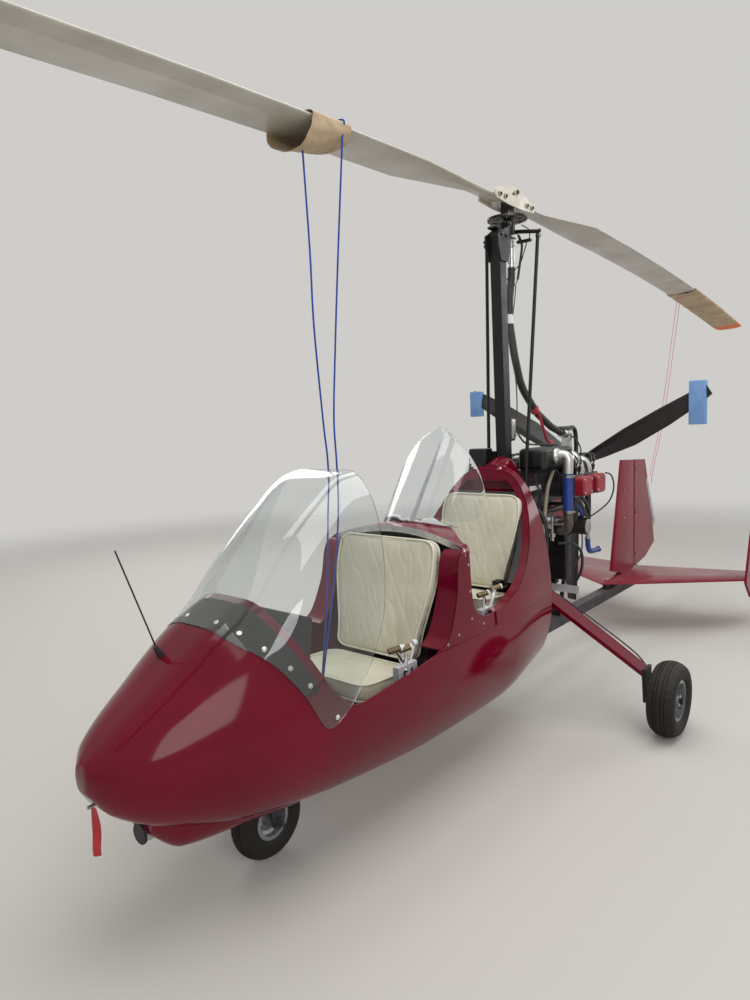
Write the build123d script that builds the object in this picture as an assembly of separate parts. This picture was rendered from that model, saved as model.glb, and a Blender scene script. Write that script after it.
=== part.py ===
from build123d import *
import os
from math import atan2, cos, degrees, radians, sin, sqrt

# Two-seat tandem pusher gyrocopter, parked on its three wheels, in millimetres.
# Frame: +X to port, +Y aft, +Z up. Origin: on the floor, under the middle of the rotor.

# Fits
PIN_CLEARANCE = 0.05
SEAT_GAP = 0.3
SWEEP_GAP = 6.0

# Rotor
ROTOR_RADIUS = 4265.0
ROTOR_HUB_Z = 2562.0
BLADE_CHORD = 220.0
BLADE_THICKNESS = 28.0
BLADE_TIP_EDGE = 2.0
BLADE_WALL = 2.5
BLADE_ROOT_CHORD = 82.0
BLADE_ROOT_Y = 75.0
BLADE_TAPER_START = 330.0
BLADE_TAPER_END = 760.0
BLADE_DROOP_RADIUS = 34500.0
BLADE_BAYS = 6
SLEEVE_THICKNESS = 4.0
SLEEVE_FRONT = (1200.0, 1585.0)
SLEEVE_AFT = (2760.0, 4285.0)
HUB_PLATE_GAP = 86.0
HUB_PLATE_THICKNESS = 8.0
HUB_PLATE_HALF_LENGTH = 195.0
TEETER_RISE = 42.0
TEETER_BOLT_RADIUS = 8.0
HUB_BOLT_RADIUS = 6.0
TOWER_WIDTH = 44.0
TOWER_DEPTH = 56.0
SPINDLE_RADIUS = 20.0
RING_GEAR_RADIUS = 100.0
RING_GEAR_THICKNESS = 12.0
RING_GEAR_DROP = 78.0
RING_GEAR_TEETH = 36
RING_GEAR_TOOTH = 7.0

# Mast and rotor head
MAST_WIDTH = 56.0
MAST_DEPTH = 60.0
MAST_WALL = 3.0
MAST_TOP_Y = -103.0
MAST_BASE_Y = -33.0
MAST_TOP_Z = 2400.0
CHEEK_THICKNESS = 10.0
CHEEK_HEIGHT = 140.0
HEAD_GAP = 14.0
HEAD_HEIGHT = 50.0
HEAD_RADIUS = 38.0
CONTROL_ARM_HALF = 156.0
CONTROL_ARM_Y = 42.0
CONTROL_ROD_RADIUS = 9.0
CONTROL_ROD_FOOT = (104.0, -45.0, 1085.0)
STARTER_RADIUS = 17.0
STARTER_HEIGHT = 143.0
HOSE_RADIUS = 20.0

# Keel and lower frame
KEEL_SIZE = 66.0
KEEL_WALL = 2.5
KEEL_TOP_Z = 312.0
KEEL_REAR_Y = 1960.0
KEEL_TAPER_Y = -1080.0
KEEL_SLOT_Y = -460.0
KEEL_NOSE_Z = 264.0
TAIL_MOUNTS = (1307.0, 1857.0)
SADDLE_TOP_Z = 674.0
SADDLE_BOTTOM_Z = 606.0
RAIL_X = 75.0
RAIL_Z = 972.0
RAIL_RADIUS = 16.0
FRAME_WALL = 2.5
POST_Y = 367.0
POST_WIDTH = 34.0
REAR_POST_Y = 600.0

# Pod
POD_WALL = 6.0
POD_REAR_Y = -190.0
POD_STEPS = 3
WIDE = 600.0
HIGH = 1500.0
COWL_BASE_Z = 640.0
COWL_FRONT_Y = -1240.0
COWL_SPLIT_Y = -800.0
COWL_CORNER = 34.0
FLANGE_WALL = 5.0
FRONT_FLANGE_X = 264.0
REAR_FLANGE_DEPTH = 45.0
WELL_HALF_WIDTH = 142.0
WELL_FRONT_Y = -1960.0
WELL_REAR_Y = -1575.0
WELL_TOP_Z = 345.0
WELL_WALL = 5.0
CHIN_WALL = 5.0
TRIM_HEIGHT = 25.0
TRIM_THICKNESS = 3.0
TRIM_Y = -1003.3
LAMP_Z = 316.0
LAMP_RADIUS = 30.0

# Windscreens
SCREEN_WALL = 3.0
REAR_SCREEN_RADIUS = 250.0
REAR_SCREEN_FOOT = (-1024.0, 900.0)
REAR_SCREEN_LEAN = (0.565, 0.825)
REAR_SCREEN_TOP_Z = 1461.0
STAY_FOOT = (-893.0, 1040.0)
STAY_TOP = (-596.0, 1443.0)
STAY_WIDTH = 24.0

# Nose gear
NOSE_TYRE_RADIUS = 140.0
NOSE_TYRE_WIDTH = 92.0
NOSE_RIM_RADIUS = 64.0
NOSE_WHEEL_Y = -1767.0
NOSE_TRAIL = 55.0
STEER_TUBE_RADIUS = 19.0
STEER_BOSS_RADIUS = 31.0
STEER_BOSS_HEIGHT = 76.0
NOSE_AXLE_RADIUS = 9.0
NOSE_AXLE_HALF = 86.0
FORK_BLADE = 10.0

# Main gear
MAIN_TYRE_RADIUS = 174.0
MAIN_TYRE_WIDTH = 122.0
MAIN_RIM_RADIUS = 88.0
MAIN_TRACK = 1648.0
MAIN_WHEEL_Y = -34.0
MAIN_AXLE_RADIUS = 11.0
LEG_ROOT_X = 130.0
LEG_ROOT_Z = 640.0
LEG_END_X = 712.0
LEG_END_Z = 282.0
LEG_ROOT_WIDTH = 118.0
LEG_END_WIDTH = 90.0
LEG_THICKNESS = 20.0
BRACKET_THICKNESS = 16.0
LIP_HEIGHT = 5.0
LIP_WIDTH = 4.0

# Propeller
PROP_RADIUS = 860.0
PROP_Y = 816.0
PROP_Z = 1200.0
PROP_START_ANGLE = 29.0
PROP_BLADES = 3
PROP_HUB_RADIUS = 62.0
PROP_HUB_HALF = 34.0
PROP_SHAFT_RADIUS = 20.0
COVER_START = 700.0
SPINNER_BOLTS = 6
SPINNER_CIRCLE = 96.0
SPINNER_HOLE_RADIUS = 4.0

# Engine
ENGINE_Z = 1118.0
CASE_FRONT_Y = 60.0
CASE_REAR_Y = 560.0
CASE_HALF_WIDTH = 105.0
CASE_HALF_HEIGHT = 92.0
GEARBOX_REAR_Y = 700.0
CYLINDER_PLACES = (270.0, 450.0)
CYLINDER_RADIUS = 50.0
FIN_HALF = 60.0
FIN_COUNT = 6
FIN_THICKNESS = 4.0
HEAD_START = 206.0
COVER_START_X = 262.0
COVER_END_X = 312.0
FOOT_PLACES = (150.0, 500.0)
AIRBOX_OUTLET_Z = 1286.0
CHARGE_HOSE = (250.0, 150.0, 1190.0)
CHARGE_HOSE_LOW = 985.0
CHARGE_HOSE_RADIUS = 26.0
COMPRESSOR_Z = 938.0
COMPRESSOR_RADIUS = 44.0
COMPRESSOR_END_X = 150.0
CANISTER_RADIUS = 46.0
CANISTER_ENDS = (70.0, 252.0)
CANISTER_PLACE = (400.0, 880.0)

# Tail
STAB_Z = 352.0
STAB_HALF_SPAN = 742.0
STAB_THICKNESS = 46.0
STAB_TIP_THICKNESS = 30.0
FIN_THICKNESS_ROOT = 40.0
END_PLATE_THICKNESS = 16.0
RUDDER_HINGE_Y = 1815.0
RUDDER_NOSE_RADIUS = 16.0
RUDDER_GAP = 8.0
HINGE_PIN_RADIUS = 5.0
TAB_WIDTH = 40.0
TAB_THICKNESS = 3.0
TAIL_WALL = 2.5

# Pod sections from the nose to the back
# columns: y, half width, half floor, half deck, floor z, widest z, deck z
POD_SECTIONS = (
    (-2402.0, 34.0, 14.0, 8.0, 512.0, 552.0, 592.0),
    (-2352.0, 118.0, 40.0, 20.0, 438.0, 545.0, 640.0),
    (-2210.0, 212.0, 84.0, 36.0, 358.0, 536.0, 742.0),
    (-1960.0, 305.0, 130.0, 60.0, 292.0, 530.0, 905.0),
    (-1600.0, 356.0, 165.0, 90.0, 250.0, 530.0, 1010.0),
    (-1100.0, 376.0, 190.0, 110.0, 222.0, 545.0, 1052.0),
    (-640.0, 368.0, 190.0, 110.0, 218.0, 560.0, 1112.0),
    (POD_REAR_Y, 318.0, 150.0, 60.0, 266.0, 600.0, 1248.0),
)

# Boxy cowl behind the front seat, columns: y, half width low, half width at the corner, corner z, crown z
COWL_SECTIONS = (
    (-1260.0, 367.0, 350.0, 1000.0, 1046.0),
    (-1100.0, 371.0, 351.0, 1001.0, 1050.0),
    (-960.0, 371.0, 350.0, 1003.0, 1062.0),
    (-780.0, 369.0, 326.0, 1006.0, 1066.0),
)

# Fairing under the nose, same columns as the pod
CHIN_SECTIONS = (
    (-2238.0, 64.0, 24.0, 20.0, 322.0, 380.0, 440.0),
    (-2170.0, 148.0, 60.0, 60.0, 266.0, 370.0, 440.0),
    (-1960.0, 176.0, 74.0, 60.0, 240.0, 345.0, 420.0),
    (-1700.0, 182.0, 84.0, 60.0, 206.0, 320.0, 400.0),
    (-1520.0, 160.0, 84.0, 60.0, 212.0, 310.0, 380.0),
)

# Crown line of the front windscreen, columns: y, half width of its top, z
SCREEN_CROWN = (
    (-2080.0, 44.0, 830.0),
    (-2016.0, 52.0, 872.0),
    (-1910.0, 60.0, 948.0),
    (-1770.0, 75.0, 1088.0),
    (-1620.0, 95.0, 1210.0),
    (-1470.0, 110.0, 1306.0),
    (-1370.0, 115.0, 1326.0),
)

# Cockpit cut-outs and windscreen outline seen from the side, columns: y, z
FRONT_CUT = (
    (-1862.0, HIGH), (-1862.0, 905.0), (-1750.0, 660.0), (-1667.0, 586.0), (-1564.0, 596.0),
    (-1367.0, 620.0), (-1195.0, 645.0), (-1150.0, 668.0), (-1115.0, 728.0), (-1077.0, 819.0),
    (-1064.0, 930.0), (-1046.0, 972.0), (-1003.0, 990.0), (-1003.0, HIGH),
)
REAR_CUT = (
    (-800.0, HIGH), (-826.0, 1050.0), (-958.0, 1010.0), (-975.0, 985.0), (-977.0, 800.0),
    (-956.0, 726.0), (-869.0, 692.0), (-717.0, 704.0), (-570.0, 750.0), (-464.0, 820.0),
    (-374.0, 912.0), (-290.0, 1042.0), (-248.0, 1143.0), (-232.0, 1218.0), (-228.0, HIGH),
)
SCREEN_EDGE = (
    (-2030.0, HIGH), (-2016.0, 862.0), (-1932.0, 798.0), (-1862.0, 690.0), (-1800.0, 560.0),
    (-1768.0, 548.0), (-1690.0, 590.0), (-1590.0, 700.0), (-1505.0, 830.0),
    (-1462.0, 980.0), (-1420.0, 1180.0), (-1388.0, HIGH),
)

# Seats, columns: knee y, z, hip y, z, head y, z
SEATS = {
    "front": (-1470.0, 560.0, -1170.0, 540.0, -1062.0, 1020.0),
    "rear": (-640.0, 692.0, -410.0, 668.0, -262.0, 1120.0),
}
# Half widths of the seats, columns: pan, shell, foot of the back, widest, its z, top of the back
SEAT_WIDTHS = {
    "front": (215.0, 232.0, 204.0, 256.0, 860.0, 250.0),
    "rear": (215.0, 150.0, 178.0, 196.0, 940.0, 152.0),
}
BACK_CORNER = 44.0
PAN_PAD = 70.0
BACK_PAD = 52.0
SEAT_SHELL = 6.0
SHELL_DROP = 13.0

# Foot bar
PEDAL_Y = -1930.0
PEDAL_HALF = 232.0

# Fin and rudder seen from the side, columns: y, z
FIN_OUTLINE = (
    (1371.0, 419.0), (1555.0, 1172.0), (2059.0, 1148.0), (2121.0, 1007.0), (2316.0, 635.0),
    (2287.0, 487.0), (2067.0, 405.0), (1902.0, 385.0), (1640.0, 350.0),
)
TAB_EDGE = ((2121.0, 1007.0), (2316.0, 635.0))
END_PLATE_MIDDLE = (2130.0, 500.0)
END_PLATE_OUTLINE = (
    (1820.0, 335.0), (1957.0, 661.0), (2010.0, 820.0), (2280.0, 820.0), (2345.0, 560.0),
    (2330.0, 300.0), (2270.0, 200.0), (1985.0, 200.0), (1930.0, 243.0),
)

# Propeller blade, columns: share of the radius, chord, thickness, blade angle in degrees
PROP_STATIONS = (
    (0.060, 58.0, 34.0, 40.0),
    (0.200, 92.0, 26.0, 34.0),
    (0.420, 122.0, 19.0, 24.0),
    (0.680, 112.0, 13.0, 18.0),
    (0.900, 86.0, 9.0, 14.0),
    (1.000, 60.0, 7.0, 12.0),
)


def box(x0, x1, y0, y1, z0, z1):
    """Block between two corners."""
    middle = Pos((x0 + x1) / 2, (y0 + y1) / 2, (z0 + z1) / 2)
    return middle * Box(abs(x1 - x0), abs(y1 - y0), abs(z1 - z0))


def rod(start, end, radius):
    """Round bar from one point to another."""
    span = Vector(*end) - Vector(*start)
    return Plane(origin=start, z_dir=span) * extrude(Circle(radius), span.length)


def pipe(points, radius, bends):
    """Round bar along straight runs joined by tangent arcs."""
    path = FilletPolyline(*points, radius=bends)
    start = Plane(origin=points[0], z_dir=Vector(*points[1]) - Vector(*points[0]))
    return sweep(start * Circle(radius), path=path)


def side_plate(outline, x0, x1):
    """Plate seen from the side: a (y, z) outline between two x places."""
    face = Plane.YZ * make_face(Polyline(*outline, close=True))
    return Pos(x0, 0, 0) * extrude(face, x1 - x0, dir=(1, 0, 0))


def front_plate(outline, y0, y1):
    """Plate seen from the front: an (x, z) outline between two y places."""
    face = Plane.XZ * make_face(Polyline(*outline, close=True))
    return Pos(0, y0, 0) * extrude(face, y1 - y0, dir=(0, 1, 0))


def plan_plate(outline, z0, z1):
    """Plate seen from above: an (x, y) outline between two heights."""
    face = make_face(Polyline(*outline, close=True))
    return Pos(0, 0, z0) * extrude(face, z1 - z0, dir=(0, 0, 1))


def both_sides(shape):
    """A shape together with its mirror image across the centre plane."""
    return shape + mirror(shape, about=Plane.YZ)


def turned(profile, x, y, z):
    """Round piece about an axle along X, from a profile of (x, radius) points."""
    face = make_face(Polyline(*profile, close=True))
    return Pos(x, y, z) * revolve(face, Axis.X)


def row_at(rows, y):
    """A table row at any y, between the rows of a table, without overshoot."""
    last = len(rows) - 2
    i = max([k for k in range(last + 1) if rows[k][0] <= y] or [0])

    def secant(k, column):
        k = min(max(k, 0), last)
        return (rows[k + 1][column] - rows[k][column]) / (rows[k + 1][0] - rows[k][0])

    def slope(k, column):
        before, after = secant(k - 1, column), secant(k, column)
        return 2 * before * after / (before + after) if before * after > 0 else 0.0

    low, high = rows[i], rows[i + 1]
    width = high[0] - low[0]
    t = (y - low[0]) / width
    values = [y]
    for column in range(1, len(low)):
        rise = high[column] - low[column]
        bend = t * (1 - t) ** 2 * (width * slope(i, column) - rise)
        bend += t * t * (1 - t) * (rise - width * slope(i + 1, column))
        values.append(low[column] + t * rise + bend)
    return tuple(values)


def ring(y, half, floor_half, deck_half, floor, widest, deck):
    """One closed section across the pod: flat floor and deck, elliptic corners."""
    low_x, low_z = half - floor_half, widest - floor
    top_x, top_z = half - deck_half, deck - widest
    plane = Plane(origin=(0, y, 0), x_dir=(1, 0, 0), z_dir=(0, -1, 0))
    edges = [
        Line((-floor_half, floor), (floor_half, floor)),
        EllipticalCenterArc((floor_half, widest), low_x, low_z, -90, arc_size=90),
        EllipticalCenterArc((deck_half, widest), top_x, top_z, 0, arc_size=90),
        Line((deck_half, deck), (-deck_half, deck)),
        EllipticalCenterArc((-deck_half, widest), top_x, top_z, 90, arc_size=90),
        EllipticalCenterArc((-floor_half, widest), low_x, low_z, 180, arc_size=90),
    ]
    return plane * make_face(edges)


def hull(rows, inset=0.0):
    """Body through a section table, or the same body a wall thickness inside it."""
    places = []
    for low, high in zip(rows, rows[1:]):
        places += [low[0] + (high[0] - low[0]) * k / POD_STEPS for k in range(POD_STEPS)]
    places.append(rows[-1][0])
    middle_y = (rows[0][0] + rows[-1][0]) / 2
    half_length = (rows[-1][0] - rows[0][0]) / 2
    floor, deck = min(row[4] for row in rows), max(row[6] for row in rows)
    middle_z, half_height = (floor + deck) / 2, (deck - floor) / 2
    half_width = max(row[1] for row in rows)
    kx, ky, kz = (1 - inset / size for size in (half_width, half_length, half_height))
    sections = []
    for y in places:
        _, half, floor_half, deck_half, low, widest, top = row_at(rows, y)
        heights = [middle_z + (z - middle_z) * kz for z in (low, widest, top)]
        y_in = middle_y + (y - middle_y) * ky
        sections.append(ring(y_in, half * kx, floor_half * kx, deck_half * kx, *heights))
    return loft(sections, ruled=True)


def wing(chord, thickness, edge=BLADE_TIP_EDGE):
    """Wing section: round nose on -x, straight tapering back, thickest at x = 0."""
    nose, tail, half = 0.3 * chord, 0.7 * chord, thickness / 2
    return make_face(
        [
            EllipticalCenterArc((0, 0), nose, half, 90, arc_size=180),
            Line((0, -half), (tail, -edge / 2)),
            Line((tail, -edge / 2), (tail, edge / 2)),
            Line((tail, edge / 2), (0, half)),
        ]
    )


def cowl_body(inset=0.0):
    """Body of the boxy cowl between the seats, or the same body a wall inside it."""
    sections = []
    low, turn = COWL_BASE_Z - 60, COWL_CORNER - inset
    for y, foot, corner, corner_z, crown_z in COWL_SECTIONS:
        side, top = corner - inset, corner_z - inset
        flat = side - turn
        plane = Plane(origin=(0, y, 0), x_dir=(1, 0, 0), z_dir=(0, -1, 0))
        edges = [
            Line((inset - foot, low), (foot - inset, low)),
            Line((foot - inset, low), (side, top - turn)),
            CenterArc((flat, top - turn), turn, 0, 90),
            ThreePointArc((flat, top), (0, crown_z - inset), (-flat, top)),
            CenterArc((-flat, top - turn), turn, 90, 90),
            Line((-side, top - turn), (inset - foot, low)),
        ]
        sections.append(plane * make_face(edges))
    return loft(sections, ruled=True)


def rim_band(outline):
    """Thin band around a cut-out seen from the side, right across the pod."""
    face = make_face(Polyline(*outline, close=True))
    band = offset(face, amount=FLANGE_WALL, kind=Kind.INTERSECTION) - face
    return Pos(-WIDE, 0, 0) * extrude(Plane.YZ * band, 2 * WIDE, dir=(1, 0, 0))


def make_pod(body, chin_body, cowl):
    """Pod shell with its cowls, trim, chin fairing and nose wheel well."""
    shell = body - hull(POD_SECTIONS, POD_WALL)
    shell -= side_plate(FRONT_CUT, -WIDE, WIDE)
    shell -= side_plate(REAR_CUT, -WIDE, WIDE)
    gap = SEAT_GAP
    well_x = WELL_HALF_WIDTH
    well_cut = box(
        -well_x - gap, well_x + gap, WELL_FRONT_Y - gap, WELL_REAR_Y + gap, 0, WELL_TOP_Z + gap
    )
    shell -= well_cut
    keel_x = KEEL_SIZE / 2 + gap
    shell -= box(-keel_x, keel_x, KEEL_SLOT_Y, 0, 0, KEEL_TOP_Z + gap)
    upper = box(-WIDE, WIDE, COWL_FRONT_Y, 0, COWL_BASE_Z, HIGH)
    middle_zone = box(-WIDE, WIDE, COWL_FRONT_Y, COWL_SPLIT_Y, COWL_BASE_Z, HIGH)
    rear_zone = box(-WIDE, WIDE, COWL_SPLIT_Y, 0, COWL_BASE_Z, HIGH)
    middle = cowl - cowl_body(POD_WALL)
    jambs = both_sides(box(FRONT_FLANGE_X, WIDE, -1200, TRIM_Y, COWL_BASE_Z, 985))
    middle += cowl & rim_band(FRONT_CUT) & jambs
    middle -= side_plate(FRONT_CUT, -WIDE, WIDE)
    middle -= side_plate(REAR_CUT, -WIDE, WIDE)
    middle &= middle_zone
    frame_depth = body - hull(POD_SECTIONS, REAR_FLANGE_DEPTH)
    rear = (shell & rear_zone) + (frame_depth & rim_band(REAR_CUT) & rear_zone)
    slab = cowl & box(-WIDE, WIDE, TRIM_Y - TRIM_THICKNESS, TRIM_Y, COWL_BASE_Z, HIGH)
    trim = (slab - Pos(0, 0, -TRIM_HEIGHT) * slab) & box(-WIDE, WIDE, -HIGH, 0, 960, HIGH)
    chin = chin_body - hull(CHIN_SECTIONS, CHIN_WALL) - body - well_cut
    chin -= rod((0, -2300, LAMP_Z), (0, -2100, LAMP_Z), LAMP_RADIUS + gap)
    wall = WELL_WALL
    well = box(-well_x, well_x, WELL_FRONT_Y, WELL_REAR_Y, 100, WELL_TOP_Z)
    well &= body + chin_body
    well -= box(
        wall - well_x, well_x - wall, WELL_FRONT_Y + wall, WELL_REAR_Y - wall, 0, WELL_TOP_Z - wall
    )
    steer_y = NOSE_WHEEL_Y - NOSE_TRAIL
    boss_top = WELL_TOP_Z + STEER_BOSS_HEIGHT
    well += rod((0, steer_y, WELL_TOP_Z - wall), (0, steer_y, boss_top), STEER_BOSS_RADIUS)
    well -= rod((0, steer_y, 300), (0, steer_y, boss_top), STEER_TUBE_RADIUS + PIN_CLEARANCE)
    return {
        "pod_shell": shell - upper,
        "mid_cowl": middle - trim,
        "headrest_cowl": rear,
        "cowl_trim": trim,
        "chin_fairing": chin,
        "wheel_well": well,
    }


def make_front_screen():
    """Front windscreen: starts on the pod's skin and rises to its own crown line."""
    skins = []
    for grow in (SEAT_GAP + SCREEN_WALL, SEAT_GAP):
        sections = []
        for k in range(2 * len(SCREEN_CROWN) - 1):
            low = SCREEN_CROWN[k // 2][0]
            high = SCREEN_CROWN[min(k // 2 + k % 2, len(SCREEN_CROWN) - 1)][0]
            y = (low + high) / 2
            _, half, floor_half, _, floor, widest, deck = row_at(POD_SECTIONS, y)
            _, crown_half, crown = row_at(SCREEN_CROWN, y)
            top = max(crown, deck) + grow
            y -= grow * 0.5
            sections.append(
                ring(y, half + grow, floor_half, crown_half, floor - grow, widest, top)
            )
        skins.append(loft(sections, ruled=True))
    skin = skins[0] - skins[1]
    screen = skin & side_plate(SCREEN_EDGE, -WIDE, WIDE)
    return max(screen.solids(), key=lambda piece: piece.volume)


def make_rear_screen(cowl):
    """Curved rear windscreen standing on the mid cowl, and its slim stay."""
    foot_y, foot_z = REAR_SCREEN_FOOT
    radius = REAR_SCREEN_RADIUS
    outer = Circle(radius) - Circle(radius - SCREEN_WALL)
    arc = (Pos(0, radius) * outer) & Rectangle(2 * WIDE, 2 * radius)
    lean = Vector(0, *REAR_SCREEN_LEAN)
    sheet = Pos(0, foot_y, foot_z) * extrude(arc, amount=700, dir=lean)
    top = REAR_SCREEN_TOP_Z
    outline = make_face(
        [
            Line((-242, 1004), (242, 1004)),
            Line((242, 1004), (242, 1060)),
            ThreePointArc((242, 1060), (176, 1318), (0, top)),
            ThreePointArc((0, top), (-176, 1318), (-242, 1060)),
            Line((-242, 1060), (-242, 1004)),
        ]
    )
    gate = extrude(Plane.XZ * outline, amount=2 * WIDE, both=True)
    screen = (sheet & gate) - cowl
    screen = max(screen.solids(), key=lambda piece: piece.bounding_box().max.Z)
    rise = Vector(0, *STAY_TOP) - Vector(0, *STAY_FOOT)
    base = Plane(origin=(0, *STAY_FOOT), z_dir=rise, x_dir=(1, 0, 0))
    tip = base.offset(rise.length)
    stay = loft([base * Rectangle(STAY_WIDTH, 4), tip * Rectangle(STAY_WIDTH / 2, 3)], ruled=True)
    return {"rear_screen": screen, "screen_stay": stay - cowl}


def make_seats():
    """Both seats: black shell with a pedestal on the keel, pan pad and back pad."""
    parts = {}
    for place, row in SEATS.items():
        knee_y, knee_z, hip_y, hip_z, head_y, head_z = row
        pan_half, shell_half, foot_half, wide_half, wide_z, top_half = SEAT_WIDTHS[place]
        lean = atan2(head_y - hip_y, head_z - hip_z)
        back_y, back_z = BACK_PAD * cos(lean), -BACK_PAD * sin(lean)
        gap = SEAT_GAP
        pan = [(knee_y, knee_z), (hip_y, hip_z), (hip_y, hip_z - PAN_PAD)]
        pan += [(knee_y + 20, knee_z - PAN_PAD)]
        cushion = fillet(side_plate(pan, -pan_half, pan_half).edges(), 18)
        back = [(hip_y + gap, hip_z - 10), (head_y, head_z)]
        back += [(head_y + back_y, head_z + back_z), (hip_y + gap + back_y, hip_z - 10 + back_z)]
        rest = side_plate(back, -wide_half, wide_half)
        corner = BACK_CORNER
        edge = [(foot_half, hip_z - 80), (foot_half, hip_z + 100), (wide_half, wide_z)]
        edge += [(top_half, head_z - corner), (top_half - corner, head_z)]
        rest &= front_plate(edge + [(-x, z) for x, z in reversed(edge)], -HIGH, 0)
        rest = fillet(rest.edges(), 14)
        low = hip_z - PAN_PAD
        slant = (head_y - hip_y - gap) / (head_z - hip_z + 10)
        top_y = head_y + back_y + 2 * gap - SHELL_DROP * slant
        top_z = head_z + back_z - SHELL_DROP
        heel_y = top_y - (top_z - low + gap) * slant
        shell = [(knee_y, knee_z - PAN_PAD - gap), (hip_y, low - gap), (heel_y, low - gap)]
        shell += [(top_y, top_z), (top_y + SEAT_SHELL, top_z)]
        shell += [(heel_y + SEAT_SHELL, low - gap - SEAT_SHELL)]
        shell += [(hip_y, low - gap - SEAT_SHELL), (knee_y, knee_z - PAN_PAD - gap - SEAT_SHELL)]
        bucket = side_plate(shell, -shell_half, shell_half)
        (front_y, front_z), (rear_y, rear_z) = shell[-1], shell[-2]
        fall = (rear_z - front_z) / (rear_y - front_y)
        y0, y1 = knee_y + 90, hip_y - 20
        seat_rail = [(y, front_z + (y - front_y) * fall + SEAT_SHELL / 2) for y in (y0, y1)]
        foot = KEEL_TOP_Z + gap
        bucket += side_plate([(y0, foot)] + seat_rail + [(y1, foot)], -60, 60)
        pieces = {"seat_shells": bucket, "seat_cushions": cushion, "seat_backs": rest - cushion}
        for name, piece in pieces.items():
            parts[name] = parts[name] + piece if name in parts else piece
    return parts


def make_cockpit(inner):
    """Instrument binnacle, sticks, pedals and the lever quadrants on the port wall."""
    gap = SEAT_GAP
    column_foot = WELL_TOP_Z + gap
    panel = side_plate(
        ((-1770, 690), (-1690, 690), (-1668, 850), (-1740, 880), (-1800, 850)), -170, 170
    )
    panel = fillet(panel.edges().filter_by(Axis.X), 14)
    panel += box(-60, 60, -1765, -1700, column_foot, 700)
    dials = Part() + [
        Plane(origin=(x, -1688.5, z), z_dir=(0, 1, 0.1)) * Cylinder(32, 12)
        for x, z in ((-115, 790), (-38, 790), (38, 790), (115, 790))
    ]
    sticks = []
    for y, top in ((-1530.0, 748.0), (-735.0, 830.0)):
        stick = pipe(
            [(0, y, KEEL_TOP_Z + gap), (0, y, top - 230), (0, y - 40, top)], 11, [90]
        )
        stick += rod((0, y - 25, top - 100), (0, y - 44, top + 22), 17)
        sticks.append(stick + box(-30, 30, y - 30, y + 30, KEEL_TOP_Z + gap, KEEL_TOP_Z + 22))
    bar_z = column_foot + 28
    pedal = rod((0, PEDAL_Y, bar_z), (PEDAL_HALF, PEDAL_Y, bar_z), 9)
    pedal += box(PEDAL_HALF - 64, PEDAL_HALF, PEDAL_Y - 5, PEDAL_Y + 5, bar_z, bar_z + 105)
    pedal += box(88, 108, PEDAL_Y - 14, PEDAL_Y + 14, column_foot, bar_z)
    quadrants = []
    for y0, y1, z0, z1 in ((-1395, -1285, 530, 622), (-830, -720, 620, 700)):
        plate = box(286, 312, y0, y1, z0, z1) + box(286, WIDE, y0 + 25, y1 - 25, z0, z0 + 20)
        plate &= inner
        for k in (0.3, 0.7):
            foot = (299, y0 + (y1 - y0) * k, z1 - 20)
            tip = (299, foot[1] + 70 * k - 10, z1 + 62)
            plate += rod(foot, tip, 4) + Pos(*tip) * Sphere(13)
        quadrants.append(plate)
    return {
        "instrument_panel": panel + dials,
        "flight_controls": both_sides(pedal) + sticks,
        "levers": quadrants[0] + quadrants[1],
    }


def mast_y(z):
    """Middle of the leaning mast at a height."""
    share = (z - KEEL_TOP_Z) / (MAST_TOP_Z - KEEL_TOP_Z)
    return MAST_BASE_Y + (MAST_TOP_Y - MAST_BASE_Y) * share


def mast_body(grow):
    """The mast's outer shape, or a thicker or thinner copy of it."""
    width, depth = MAST_WIDTH / 2 + grow, MAST_DEPTH / 2 + grow
    low, high = KEEL_TOP_Z + SEAT_GAP - grow, MAST_TOP_Z + grow
    sides = ((low, -1), (low, 1), (high, 1), (high, -1))
    return side_plate([(mast_y(z) + depth * side, z) for z, side in sides], -width, width)


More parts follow.
